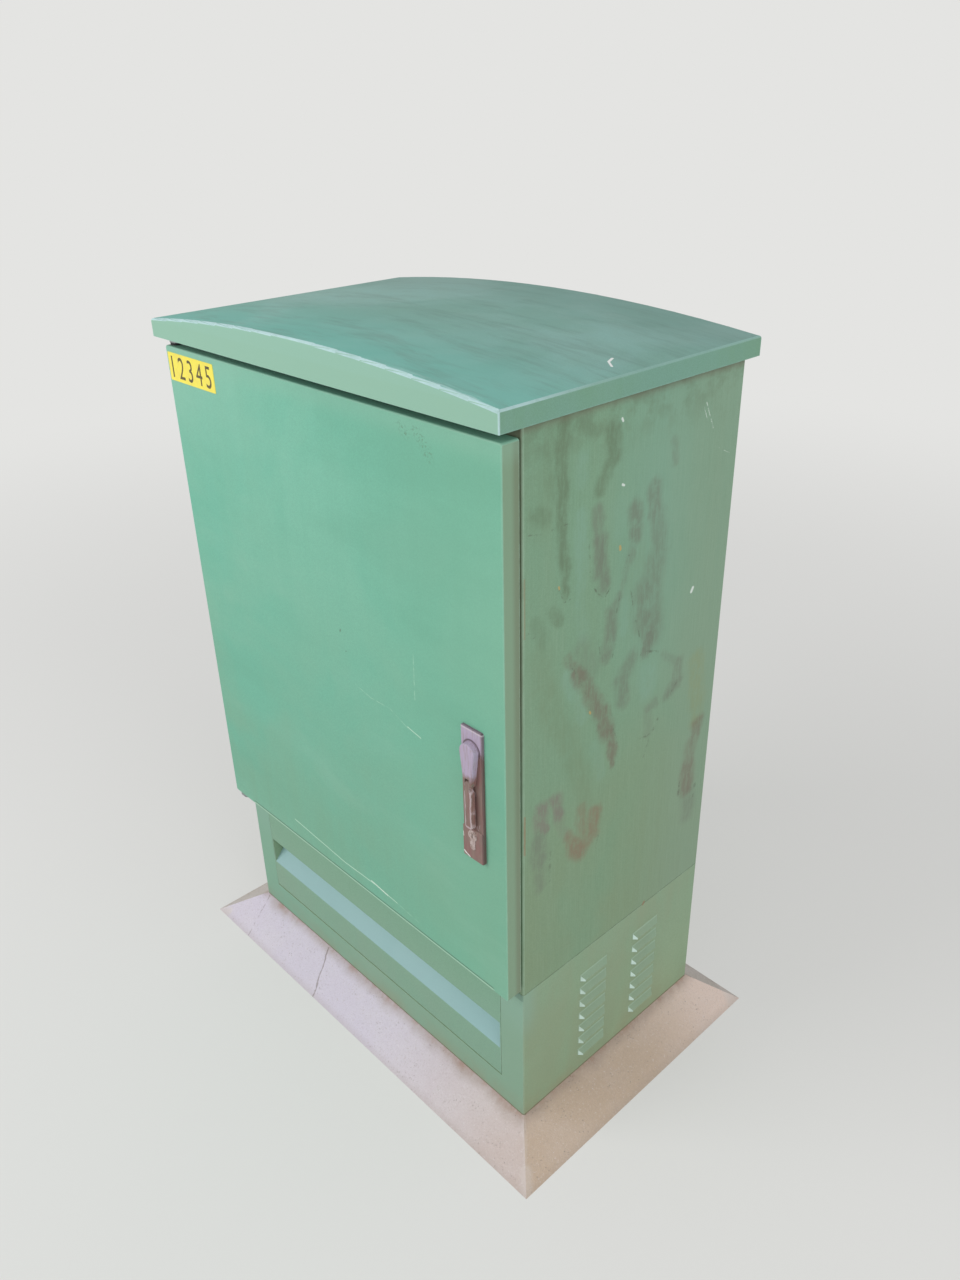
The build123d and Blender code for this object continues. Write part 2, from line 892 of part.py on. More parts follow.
plate_top = handle_z + handle_plate_above
plate_bottom = plate_top - handle_plate_length
plate_screw_places = [(handle_x, handle_z - plate_screw_drop), (handle_x, plate_bottom + plate_screw_lift)]
case_screw_places = [
    (handle_x, handle_z + case_half_height + case_tab / 2),
    (handle_x, handle_z - case_half_height - case_tab / 2),
]


def door():
    pan = slab(door_outline(0, door_corner_radius), door_face, door_back)
    front_edges = pan.faces().sort_by(Axis.Y)[0].outer_wire().edges()
    pan = fillet(front_edges, door_edge_radius)
    pan -= slab(door_outline(sheet, door_corner_radius - sheet), door_face + sheet, door_back - sheet)
    pan -= slab(door_outline(door_flange, 0), door_back - sheet, door_back)
    for z_low in (door_bottom, door_top - sheet):
        pan -= upright(hinge_x, hinge_y, z_low, z_low + sheet, hinge_bush_radius)
    hole = spindle_radius + spindle_hole_clearance
    pan -= along_y(handle_x, door_face - 1, door_face + sheet + 1, handle_z, hole)
    pan -= slab(key_profile(bolt_hole_clearance), door_face - 1, door_face + sheet + 1)
    for x, z in plate_screw_places:
        pan -= along_y(x, door_face - 1, door_face + sheet + 1, z, small_screw_radius)
    for x, z in case_screw_places:
        pan -= along_y(x, door_face + sheet / 2, door_face + sheet + 1, z, stud_radius)
    return pan


def door_stiffener(x):
    """A hat-shaped stiffener welded up the inside of the door's face."""
    base = door_face + sheet
    crest = base + stiffener_depth
    half = stiffener_width / 2
    points = [
        (x - half - stiffener_foot, base),
        (x - half, base),
        (x - half, crest),
        (x + half, crest),
        (x + half, base),
        (x + half + stiffener_foot, base),
    ]
    low_z = door_bottom + sheet + stiffener_end_gap
    high_z = door_top - sheet - stiffener_end_gap
    return folded_upright(points, stiffener_bend, sheet, Side.LEFT, low_z, high_z)


def door_stiffeners():
    return Compound([door_stiffener(x) for x in (-stiffener_spread / 2, stiffener_spread / 2)])


def door_seal():
    ring = door_outline(seal_inset, 0) - door_outline(seal_inset + seal_width, 0)
    return slab(ring, door_back, front - seal_clearance)


def hinge_bracket(plate_low, leaf_low, leaf_high):
    """A plate that carries the pin, with a leaf welded behind the frame's flange."""
    left = -half_width + hinge_plate_inset
    right = left + hinge_plate_width
    back = front + sheet
    plate = box(left, right, hinge_y - hinge_nose, back + hinge_plate, plate_low, plate_low + hinge_plate)
    nose = plate.edges().filter_by(Axis.Z).sort_by(Axis.Y)[:2]
    plate = fillet(nose, hinge_nose_radius)
    leaf = box(left, right, back, back + hinge_plate, leaf_low, leaf_high)
    return plate + leaf - upright(hinge_x, hinge_y, plate_low, plate_low + hinge_plate, hinge_pin_radius)


def lower_hinge_bracket():
    return hinge_bracket(lower_hinge_z, lower_hinge_z, lower_hinge_z + hinge_leaf_height)


def upper_hinge_bracket():
    top = upper_hinge_z + hinge_plate
    return hinge_bracket(upper_hinge_z, top - hinge_leaf_height, top)


def lower_hinge_pin():
    return upright(hinge_x, hinge_y, lower_hinge_z, door_bottom + hinge_pin_reach, hinge_pin_radius)


def upper_hinge_pin():
    top = upper_hinge_z + hinge_plate
    return upright(hinge_x, hinge_y, door_top - hinge_pin_reach, top, hinge_pin_radius)


def hinge_bush(flange_low, flange_high, sleeve_low, sleeve_high):
    """A flanged plastic bush in the door's return."""
    bush = upright(hinge_x, hinge_y, flange_low, flange_high, hinge_bush_flange_radius)
    bush += upright(hinge_x, hinge_y, sleeve_low, sleeve_high, hinge_bush_radius)
    bore = hinge_pin_radius + hinge_running_clearance
    low_z = min(flange_low, sleeve_low)
    high_z = max(flange_high, sleeve_high)
    return bush - upright(hinge_x, hinge_y, low_z, high_z, bore)


def lower_hinge_bush():
    flange_low = lower_hinge_z + hinge_plate + hinge_thrust_gap
    return hinge_bush(flange_low, door_bottom, door_bottom, door_bottom + hinge_bush_reach)


def upper_hinge_bush():
    flange_high = upper_hinge_z - hinge_thrust_gap
    return hinge_bush(door_top, flange_high, door_top - hinge_bush_reach, door_top)


# Handle and lock

def handle_plate():
    """The moulded plate of the handle, with the raised housing of the key cylinder at its foot."""
    outline = RectangleRounded(handle_plate_width, handle_plate_length, handle_plate_corner)
    plate = slab(Pos(handle_x, (plate_top + plate_bottom) / 2) * outline, plate_face, door_face)
    plate = fillet(plate.faces().sort_by(Axis.Y)[0].outer_wire().edges(), handle_plate_edge)
    foot = RectangleRounded(handle_plate_width, lock_housing_length, handle_plate_corner)
    housing_face = door_face - lock_housing_reach
    housing = slab(Pos(handle_x, plate_bottom + lock_housing_length / 2) * foot, housing_face, door_face)
    plate += fillet(housing.faces().sort_by(Axis.Y)[0].outer_wire().edges(), lock_housing_edge)
    bore = spindle_radius + spindle_running_clearance
    plate -= along_y(handle_x, plate_face - 1, door_face + 1, handle_z, bore)
    plate -= slab(key_profile(0), housing_face - 1, door_face)
    for x, z in plate_screw_places:
        plate -= along_y(x, plate_face + 1, door_face + 1, z, small_screw_radius)
    return plate


def plate_screws():
    seat = door_face + sheet
    return Compound([slotted_screw(x, seat, plate_face + 1, z, 1) for x, z in plate_screw_places])


def handle_spindle():
    """The turning part of the handle: its tear-shaped boss with a fork below, and the shaft behind it."""
    boss_front = boss_back - boss_thickness
    head = Pos(handle_x, handle_z) * Circle(boss_radius)
    tail = Pos(handle_x, pivot_z) * Circle(fork_radius)
    boss = slab(make_hull((head + tail).edges()), boss_front, boss_back)
    boss = fillet(boss.faces().sort_by(Axis.Y)[0].outer_wire().edges(), boss_edge_radius)
    left = handle_x - fork_slot / 2
    right = handle_x + fork_slot / 2
    slot_top = pivot_z + fork_slot_above
    boss -= box(left, right, boss_front - 1, boss_back + 1, pivot_z - 2 * fork_radius, slot_top)
    boss -= along_x(handle_x - boss_radius, handle_x + boss_radius, pivot_y, pivot_z, lever_pin_radius)
    shaft = along_y(handle_x, boss_back, rod_front, handle_z, spindle_radius)
    square = Pos(handle_x, rod_y, handle_z) * Box(spindle_square, gear_width, spindle_square)
    return boss + shaft + square


def lever_pin():
    reach = fork_radius - lever_pin_set_in
    return along_x(handle_x - reach, handle_x + reach, pivot_y, pivot_z, lever_pin_radius)


def handle_lever():
    """The grip: an eye between the fork's ears, a neck, and a wider bar with a round end."""
    face = lever_back - lever_thickness
    left = handle_x - lever_eye_width / 2
    right = handle_x + lever_eye_width / 2
    eye = along_x(left, right, pivot_y, pivot_z, lever_thickness / 2)
    shoulder = pivot_z - lever_shoulder_drop
    neck = box(left, right, face, lever_back, shoulder - lever_width / 2, pivot_z)
    end = pivot_z - lever_length
    outline = RectangleRounded(lever_width, shoulder - end, lever_end_radius)
    grip = slab(Pos(handle_x, (shoulder + end) / 2) * outline, face, lever_back)
    grip = fillet(grip.faces().sort_by(Axis.Y)[0].outer_wire().edges(), lever_edge_radius)
    lever = grip + neck + eye
    bore = lever_pin_radius + lever_running_clearance
    return lever - along_x(handle_x - lever_width, handle_x + lever_width, pivot_y, pivot_z, bore)


def lock_cylinder():
    face = door_face - lock_housing_reach - cylinder_proud
    body = slab(key_profile(0), face, face + cylinder_length)
    bore = plug_radius + plug_running_clearance
    return body - along_y(handle_x, face - 1, face + cylinder_length + 1, cylinder_z, bore)


def key_plug():
    face = door_face - lock_housing_reach - cylinder_proud - plug_proud
    plug = along_y(handle_x, face, face + cylinder_length, cylinder_z, plug_radius)
    slot = Pos(handle_x, face, cylinder_z) * Box(key_slot_width, 2 * key_slot_depth, key_slot_height)
    return plug - slot


def involute_point(base_radius, radius, start):
    """A point of an involute at radius, whose curve leaves the base circle at the angle start."""
    if radius <= base_radius:
        return (radius * cos(start), radius * sin(start))
    roll = sqrt((radius / base_radius) ** 2 - 1)
    angle = start + roll - atan2(roll, 1)
    return (radius * cos(angle), radius * sin(angle))


def pinion():
    base_radius = pitch_radius * cos(radians(pressure_angle))
    tip = pitch_radius + gear_module
    root = pitch_radius - gear_module - root_clearance
    pitch_roll = sqrt((pitch_radius / base_radius) ** 2 - 1)
    half_tooth = pi / (2 * pinion_teeth) - tooth_backlash / (2 * pitch_radius)
    start = -half_tooth - (pitch_roll - atan2(pitch_roll, 1))
    flank_rise = (tip - base_radius) / flank_steps
    radii = [root] + [base_radius + flank_rise * n for n in range(flank_steps + 1)]
    flank = [involute_point(base_radius, r, start) for r in radii]
    tooth = flank + [(x, -y) for x, y in reversed(flank)]
    outline = []
    for n in range(pinion_teeth):
        turn = 2 * pi * n / pinion_teeth
        outline += [(x * cos(turn) - y * sin(turn), x * sin(turn) + y * cos(turn)) for x, y in tooth]
    face = Pos(handle_x, handle_z) * make_face(Polyline(*outline, close=True))
    gear = slab(face, rod_front, rod_back)
    return gear - Pos(handle_x, rod_y, handle_z) * Box(spindle_square, 2 * gear_width, spindle_square)


def rack_outline(direction):
    """Teeth of a rack on the right of the pinion, seen from the front. The rod goes on in direction."""
    half_pitch = tooth_pitch / 2
    slope = tan(radians(pressure_angle))
    half_tooth = half_pitch / 2 - tooth_backlash / 2
    tip = pitch_radius - gear_module
    at_tip = half_tooth - gear_module * slope
    at_root = half_tooth + (gear_module + root_clearance) * slope
    points = []
    for n in range(rack_teeth):
        z = direction * (n - 1 + 0.5) * tooth_pitch
        points += [
            (rack_root, z - direction * at_root),
            (tip, z - direction * at_tip),
            (tip, z + direction * at_tip),
            (rack_root, z + direction * at_root),
        ]
    return points


def lock_rod(direction):
    """A flat bar with the rack at its inner end. The upper rod is on the right, the lower on the left."""
    points = rack_outline(direction)
    first = points[0][1] - direction * rack_lead
    if direction > 0:
        last = opening_top + rod_throw - handle_z
    else:
        last = opening_bottom - rod_throw - handle_z
    points += [
        (rack_root, last),
        (rack_back, last),
        (rack_back, first),
        (rack_root, first),
    ]
    placed = [(handle_x + direction * x, handle_z + z) for x, z in points]
    rod = slab(make_face(Polyline(*placed, close=True)), rod_front, rod_back)
    tip = rod.faces().sort_by(Axis.Z)[-1 if direction > 0 else 0]
    return chamfer(tip.edges().filter_by(Axis.X), rod_tip_chamfer)


def rod_window(direction, z_low, z_high):
    near = handle_x + direction * (rack_root - rod_clearance)
    far = handle_x + direction * (rack_back + rod_clearance)
    y_low = rod_front - rod_clearance
    y_high = rod_back + rod_clearance
    return box(min(near, far), max(near, far), y_low, y_high, z_low, z_high)


case_half = rack_back + rod_clearance + case_wall
case_back = rod_back + case_rear_gap


def lock_case():
    """The housing of the gear, with a tube that carries the shaft and a tab at each end."""
    seat = door_face + sheet
    low_z = handle_z - case_half_height
    high_z = handle_z + case_half_height
    case = box(handle_x - case_half, handle_x + case_half, seat, case_back, low_z, high_z)
    inner = case_half - case_wall
    floor = seat + case_wall
    case -= box(handle_x - inner, handle_x + inner, floor, case_back, low_z + case_wall, high_z - case_wall)
    case += along_y(handle_x, seat + case_wall / 2, rod_front - case_tube_gap, handle_z, case_tube_radius)
    case -= along_y(handle_x, seat - 1, rod_front, handle_z, spindle_radius + spindle_running_clearance)
    case -= rod_window(1, high_z - case_wall, high_z)
    case -= rod_window(-1, low_z, low_z + case_wall)
    tab = case_tube_radius
    case += box(handle_x - tab, handle_x + tab, seat, seat + case_wall, high_z, high_z + case_tab)
    case += box(handle_x - tab, handle_x + tab, seat, seat + case_wall, low_z - case_tab, low_z)
    for x, z in case_screw_places:
        case -= along_y(x, seat, seat + case_wall, z, stud_radius)
    return case


def lock_case_cover():
    low_z = handle_z - case_half_height
    high_z = handle_z + case_half_height
    return box(handle_x - case_half, handle_x + case_half, case_back, case_back + sheet, low_z, high_z)


def lock_case_screws():
    screws = []
    seat = door_face + sheet + case_wall
    for x, z in case_screw_places:
        head = along_y(x, seat, seat + small_screw_head, z, case_screw_head_radius)
        screws.append(head + along_y(x, door_face + sheet / 2, seat, z, stud_radius))
    return Compound(screws)


def rod_guide(direction):
    """A bracket on the door's face with a window for the rod near its free end."""
    seat = door_face + sheet
    level = opening_top - guide_from_end if direction > 0 else opening_bottom + guide_from_end
    near = handle_x + direction * (rack_root - guide_side)
    far = handle_x + direction * case_half
    left = min(near, far)
    right = max(near, far)
    guide = box(left, right, seat, rod_back + guide_sheet, level, level + guide_sheet)
    base_low = min(level, level - direction * guide_base)
    guide += box(left, right, seat, seat + guide_sheet, base_low, base_low + guide_base + guide_sheet)
    return guide - rod_window(direction, level - 1, level + guide_sheet + 1)


def build():
    nodes = {
        "concrete_base": concrete_base(),
        "anchor_studs": anchor_studs(),
        "anchor_washers": anchor_washers(),
        "anchor_nuts": anchor_nuts(),
        "plinth_frame": plinth_frame(),
        "plinth_cover": plinth_cover(),
        "plinth_cover_screws": cover_screws(),
        "side_panel_left": drilled_for_back_screws(side_panel(-1)),
        "side_panel_right": drilled_for_back_screws(side_panel(1)),
        "back_panel": drilled_for_back_screws(back_panel()),
        "back_panel_screws": back_panel_screws(),
        "sill_rail": sill_rail(),
        "top_plate": top_plate(),
        "body_bolts": body_bolts(),
        "body_nuts": body_nuts(),
        "roof_lid": roof_lid(),
        "roof_bearers": roof_bearers(),
        "roof_bolts": roof_bolts(),
        "floor_plate_front": floor_plate(-1),
        "floor_plate_rear": floor_plate(1),
        "cable_slot_trims": cable_slot_trims(),
        "lower_cross_bar": cross_bar(lower_bar_level),
        "upper_cross_bar": cross_bar(upper_bar_level),
        "cable_tie_bar": cable_bar(),
        "channel_screws": channel_screws(),
        "earth_bar": earth_bar(),
        "earth_bar_insulators": earth_bar_insulators(),
        "earth_bar_screws": earth_bar_screws(),
        "door_seal": door_seal(),
        "lower_hinge_bracket": lower_hinge_bracket(),
        "upper_hinge_bracket": upper_hinge_bracket(),
        "lower_hinge_pin": lower_hinge_pin(),
        "upper_hinge_pin": upper_hinge_pin(),
        "door": door(),
        "door_stiffeners": door_stiffeners(),
        "lower_hinge_bush": lower_hinge_bush(),
        "upper_hinge_bush": upper_hinge_bush(),
        "handle_plate": handle_plate(),
        "handle_plate_screws": plate_screws(),
        "lock_cylinder": lock_cylinder(),
        "key_plug": key_plug(),
        "lock_case": lock_case(),
        "lock_case_cover": lock_case_cover(),
        "lock_case_screws": lock_case_screws(),
        "upper_rod_guide": rod_guide(1),
        "lower_rod_guide": rod_guide(-1),
        "handle_spindle": handle_spindle(),
        "lock_pinion": pinion(),
        "lever_pin": lever_pin(),
        "handle_lever": handle_lever(),
        "upper_lock_rod": lock_rod(1),
        "lower_lock_rod": lock_rod(-1),
    }
    for number, x in enumerate(channel_places(), start=1):
        nodes[f"mounting_channel_{number}"] = mounting_channel(x)
        nodes[f"connection_blocks_{number}"] = connection_blocks(x)
    return nodes


os.makedirs("parts", exist_ok=True)
for name, shape in build().items():
    export_step(shape, f"parts/{name}.step")
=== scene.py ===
import json
from math import radians

import bmesh
import bpy
from mathutils import Matrix, Vector


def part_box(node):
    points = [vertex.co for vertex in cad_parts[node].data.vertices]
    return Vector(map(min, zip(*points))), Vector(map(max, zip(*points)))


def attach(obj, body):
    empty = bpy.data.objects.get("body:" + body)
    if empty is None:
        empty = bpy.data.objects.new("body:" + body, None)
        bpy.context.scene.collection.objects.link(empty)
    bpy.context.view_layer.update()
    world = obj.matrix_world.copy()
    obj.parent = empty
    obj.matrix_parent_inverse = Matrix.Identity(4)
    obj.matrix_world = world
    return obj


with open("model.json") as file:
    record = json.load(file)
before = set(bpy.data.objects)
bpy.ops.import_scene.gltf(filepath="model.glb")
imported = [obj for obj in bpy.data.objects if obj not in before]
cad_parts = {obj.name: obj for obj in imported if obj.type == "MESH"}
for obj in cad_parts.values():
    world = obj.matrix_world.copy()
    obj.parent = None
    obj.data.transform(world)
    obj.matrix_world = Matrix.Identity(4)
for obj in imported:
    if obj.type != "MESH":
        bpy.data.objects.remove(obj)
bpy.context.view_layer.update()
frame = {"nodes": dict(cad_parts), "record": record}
nodes = frame["nodes"]
scene = bpy.context.scene
print("frame loaded:", len(nodes), "nodes")


# Node helpers

def feed(tree, socket, value):
    if isinstance(value, bpy.types.NodeSocket):
        tree.links.new(value, socket)
    else:
        socket.default_value = value


def add(tree, kind, inputs=None, **settings):
    made = tree.nodes.new("ShaderNode" + kind)
    for name, value in settings.items():
        setattr(made, name, value)
    for name, value in (inputs or {}).items():
        feed(tree, made.inputs[name], value)
    return made


def maths(tree, operation, *values):
    made = add(tree, "Math", operation=operation)
    for socket, value in zip(made.inputs, values):
        feed(tree, socket, value)
    return made.outputs[0]


def product(tree, first, *others):
    for value in others:
        first = maths(tree, "MULTIPLY", first, value)
    return first


def vectorMaths(tree, operation, *values):
    made = add(tree, "VectorMath", operation=operation)
    for socket, value in zip(made.inputs, values):
        feed(tree, socket, value)
    return made


def mix(tree, share, first, second, how="MIX"):
    made = add(tree, "Mix", data_type="RGBA", blend_type=how)
    feed(tree, made.inputs[0], share)
    feed(tree, made.inputs[6], first)
    feed(tree, made.inputs[7], second)
    return made.outputs[2]


def step(tree, value, low, high, start=0.0, end=1.0):  # a smooth step between two levels
    inputs = {"Value": value, "From Min": low, "From Max": high, "To Min": start, "To Max": end}
    return add(tree, "MapRange", inputs, interpolation_type="SMOOTHSTEP").outputs[0]


def band(tree, value, low, high, soft):  # one between two levels, with soft ends
    rise = step(tree, value, low - soft, low + soft)
    return product(tree, rise, step(tree, value, high + soft, high - soft))


def noise(tree, place, scale, detail=3.0, roughness=0.5, distortion=0.0):
    inputs = {"Vector": place, "Scale": scale, "Detail": detail, "Roughness": roughness}
    inputs["Distortion"] = distortion
    return add(tree, "TexNoise", inputs).outputs[0]


def cloud(tree, place, texture, *levels):  # noise of a scale, detail and roughness, stepped between levels
    return step(tree, noise(tree, place, *texture), *levels)


def scaled(tree, place, scale):
    return add(tree, "Mapping", {"Vector": place, "Scale": scale}).outputs[0]


def split(tree, vector):
    return add(tree, "SeparateXYZ", {"Vector": vector}).outputs


def normals(tree, kind="True Normal"):
    return split(tree, add(tree, "NewGeometry").outputs[kind])


def tint(red, green, blue):  # a screen colour, 0 to 255, as the linear colour that Blender uses
    parts = [c / 255 for c in (red, green, blue)]
    return tuple(c / 12.92 if c <= 0.04045 else ((c + 0.055) / 1.055) ** 2.4 for c in parts) + (1.0,)


# Shared effects

def openGroup(name, inputs, outputs):
    group = bpy.data.node_groups.new(name, "ShaderNodeTree")
    for label, value in inputs.items():
        kind = "NodeSocketVector" if isinstance(value, tuple) else "NodeSocketFloat"
        group.interface.new_socket(name=label, in_out="INPUT", socket_type=kind).default_value = value
    for label in outputs:
        group.interface.new_socket(name=label, in_out="OUTPUT", socket_type="NodeSocketFloat")
    source = group.nodes.new("NodeGroupInput").outputs
    target = group.nodes.new("NodeGroupOutput").inputs
    return group, source, target


def use(tree, group, inputs):
    made = tree.nodes.new("ShaderNodeGroup")
    made.node_tree = group
    for name, value in inputs.items():
        feed(tree, made.inputs[name], value)
    return made.outputs


def buildWeather():  # soft patches, streaks that rain leaves down a wall, and fine specks
    group, source, target = openGroup(
        "weather", {"Place": (0, 0, 0), "Patch Scale": 3.0, "Streak Scale": 30.0, "Speck Scale": 700.0},
        ["Patch", "Streak", "Speck"],
    )
    broad = noise(group, source["Place"], source["Patch Scale"], 5.0, 0.55, 0.4)
    feed(group, target["Patch"], step(group, broad, 0.38, 0.64))
    runs = scaled(group, source["Place"], (1, 1, 0.07))
    feed(group, target["Streak"], cloud(group, runs, (source["Streak Scale"], 4.0, 0.6), 0.35, 0.7))
    feed(group, target["Speck"], cloud(group, source["Place"], (source["Speck Scale"], 2.0, 0.6), 0.3, 0.7))
    return group


def buildEdgeWearAndSheen():  # bright along a fold or a corner, broken up by noise
    group, source, target = openGroup(
        "edgeWearAndSheen", {"Place": (0, 0, 0), "Radius": 0.003, "Break": 60.0, "Keep": 0.5}, ["Edge"]
    )
    rounded = add(group, "Bevel", {"Radius": source["Radius"]}, samples=4).outputs["Normal"]
    flat = add(group, "NewGeometry").outputs["Normal"]
    turn = vectorMaths(group, "DOT_PRODUCT", rounded, flat).outputs["Value"]
    lowest = maths(group, "SUBTRACT", 0.75, product(group, source["Keep"], 0.6))
    gate = cloud(group, source["Place"], (source["Break"], 5.0, 0.65), lowest, 0.78)
    feed(group, target["Edge"], product(group, step(group, turn, 0.995, 0.86), gate))
    return group


def buildFold():  # where the surface turns between two flat faces, as on a fold or a rounded corner
    group, source, target = openGroup(
        "foldSheen", {"Place": (0, 0, 0), "Break": 30.0, "Keep": 0.5}, ["Fold"]
    )
    facing = add(group, "NewGeometry").outputs["True Normal"]
    parts = split(group, vectorMaths(group, "ABSOLUTE", facing).outputs["Vector"])
    most = maths(group, "MAXIMUM", maths(group, "MAXIMUM", parts["X"], parts["Y"]), parts["Z"])
    broken = cloud(group, source["Place"], (source["Break"], 5.0, 0.65), 0.34, 0.6)
    lost = product(group, broken, maths(group, "SUBTRACT", 1.0, source["Keep"]))
    gate = maths(group, "ADD", source["Keep"], lost)
    feed(group, target["Fold"], product(group, step(group, most, 0.985, 0.92), gate))
    return group


def buildGrain():  # the fine unevenness of a sprayed or cast surface
    group, source, target = openGroup(
        "grain", {"Place": (0, 0, 0), "Scale": 500.0, "Wave": 4.0, "Share": 0.5}, ["Height"]
    )
    fine = noise(group, source["Place"], source["Scale"], 2.0, 0.5)
    tall = product(group, noise(group, source["Place"], source["Wave"], 1.0, 0.4), source["Share"])
    feed(group, target["Height"], maths(group, "ADD", fine, tall))
    return group


def buildDust():  # what settles on a surface that faces up
    group, source, target = openGroup("dust", {"Place": (0, 0, 0), "Scale": 25.0, "Steep": 0.2}, ["Dust"])
    upward = normals(group, "Normal")["Z"]
    level = step(group, upward, source["Steep"], maths(group, "ADD", source["Steep"], 0.5))
    settled = cloud(group, source["Place"], (source["Scale"], 5.0, 0.6), 0.3, 0.7, 0.45, 1.0)
    feed(group, target["Dust"], product(group, level, settled))
    return group


def buildStroke():  # a wiped or scratched mark from Start to End, with its rim apart
    group, source, target = openGroup(
        "stroke",
        {"Place": (0, 0, 0), "Start": (0, 0, 0), "End": (0, 0, 1), "Width": 0.01, "Soft": 0.5},
        ["Mark", "Rim"],
    )
    run = vectorMaths(group, "SUBTRACT", source["End"], source["Start"]).outputs["Vector"]
    here = vectorMaths(group, "SUBTRACT", source["Place"], source["Start"]).outputs["Vector"]
    along = vectorMaths(group, "DOT_PRODUCT", here, run).outputs["Value"]
    length = vectorMaths(group, "DOT_PRODUCT", run, run).outputs["Value"]
    share = add(group, "Clamp", {"Value": maths(group, "DIVIDE", along, length)}).outputs[0]
    nearest = vectorMaths(group, "SCALE", run)
    feed(group, nearest.inputs["Scale"], share)
    away = vectorMaths(group, "DISTANCE", here, nearest.outputs["Vector"]).outputs["Value"]
    far = maths(group, "DIVIDE", away, source["Width"])
    feed(group, target["Mark"], step(group, far, 1.0, maths(group, "SUBTRACT", 1.0, source["Soft"])))
    feed(group, target["Rim"], product(group, step(group, far, 0.72, 0.95), step(group, far, 1.18, 1.0)))
    return group


weather = buildWeather()
edgeWearAndSheen = buildEdgeWearAndSheen()
foldSheen = buildFold()
grain = buildGrain()
dust = buildDust()
stroke = buildStroke()
print("shared effects built")


# Materials

def openLook(name, washes=None):
    material = bpy.data.materials.new(name)
    material.use_nodes = True
    tree = material.node_tree
    tree.nodes.clear()
    place = add(tree, "TexCoord").outputs["Object"]
    return {"material": material, "tree": tree, "place": place, "washes": washes}, tree, place


def closeLook(look, roughness, height=None, bump=(0.3, 0.001), metallic=0.0, specular=0.5):
    tree = look["tree"]
    inputs = {"Base Color": look["colour"], "Roughness": roughness, "Metallic": metallic}
    shader = add(tree, "BsdfPrincipled", inputs)
    shader.inputs["Specular IOR Level"].default_value = specular
    if height is not None:
        raised = add(tree, "Bump", {"Strength": bump[0], "Distance": bump[1], "Height": height})
        feed(tree, shader.inputs["Normal"], raised.outputs[0])
    feed(tree, add(tree, "OutputMaterial").inputs["Surface"], shader.outputs[0])
    return look["material"]


def effect(look, group, **inputs):  # what a shared effect gives at the look's own place
    return use(look["tree"], group, {"Place": look["place"], **inputs})[0]


def blend(look, share, first, second):
    look["colour"] = mix(look["tree"], share, tint(*first), tint(*second))


def stain(look, name, *masks):  # a wash is how strong it is, and its colour
    amount, colour = look["washes"][name]
    share = product(look["tree"], *masks, amount)
    look["colour"] = mix(look["tree"], share, look["colour"], tint(*colour))


def reached(look, axis, name, *ends):  # from nothing to full between the two places of a reach
    return step(look["tree"], look["parts"][axis], *look["reach"][name], *ends)


def banded(look, axis, name, soft):
    return band(look["tree"], look["parts"][axis], *look["reach"][name], soft)


def strokes(look, place, point, rows, soft, spread=1.0, part="Mark"):
    # rows of half width in millimetres, strength, and the places that the mark runs through
    tree = look["tree"]
    joined = None
    for width, strength, *spots in rows:
        for start, end in zip(spots, spots[1:]):
            inputs = {"Place": place, "Start": point(*start), "End": point(*end)}
            inputs.update({"Width": width * spread / 1000, "Soft": soft})
            mark = product(tree, use(tree, stroke, inputs)[part], strength)
            joined = mark if joined is None else maths(tree, "MAXIMUM", joined, mark)
    return joined


def wobbled(tree, place, scale, reach):  # a place shaken by noise, so that a mark has no ruled edge
    shake = add(tree, "TexNoise", {"Vector": place, "Scale": scale, "Detail": 3.0}).outputs["Color"]
    centred = vectorMaths(tree, "SUBTRACT", shake, (0.5, 0.5, 0.5)).outputs["Vector"]
    moved = vectorMaths(tree, "SCALE", centred)
    moved.inputs["Scale"].default_value = reach
    return vectorMaths(tree, "ADD", place, moved.outputs["Vector"]).outputs["Vector"]


paintTones = {  # low and high are the tones at the two levels, in metres above the ground
    # fold is how strong the painted highlight along folds is, in the edge tone
    "doorPaint": {
        "low": (114, 170, 142), "high": (122, 190, 165), "levels": (0.34, 1.17),
        "patch": (108, 182, 158), "streak": (112, 180, 154), "edge": (170, 210, 186), "foldSheen": 0.25,
        "rough": (0.5, 0.66), "edgeKeep": 0.85,
    },
    "sidePaint": {
        "low": (126, 150, 117), "high": (121, 160, 131), "levels": (0.33, 1.1),
        "patch": (124, 160, 132), "streak": (128, 158, 128), "edge": (164, 194, 168), "foldSheen": 0.5,
        "rough": (0.52, 0.7), "edgeKeep": 0.7,
    },
    "roofPaint": {
        "low": (114, 158, 132), "high": (126, 174, 166), "levels": (1.2235, 1.2285),
        "patch": (118, 162, 148), "streak": (122, 164, 150), "edge": (156, 194, 186), "foldSheen": 0.2,
        "rough": (0.55, 0.7), "edgeKeep": 0.8,
    },
    "plinthPaint": {
        "low": (148, 172, 137), "high": (136, 165, 134), "levels": (0.06, 0.3),
        "patch": (138, 166, 136), "streak": (144, 164, 134), "edge": (164, 192, 172), "foldSheen": 0.15,
        "rough": (0.5, 0.68), "edgeKeep": 0.7,
    },
    "coverPaint": {
        "low": (130, 164, 140), "high": (122, 166, 138), "levels": (0.1, 0.31),
        "patch": (130, 168, 146), "streak": (126, 168, 142), "edge": (170, 202, 182), "foldSheen": 0.0,
        "rough": (0.5, 0.66), "edgeKeep": 0.7,
    },
}


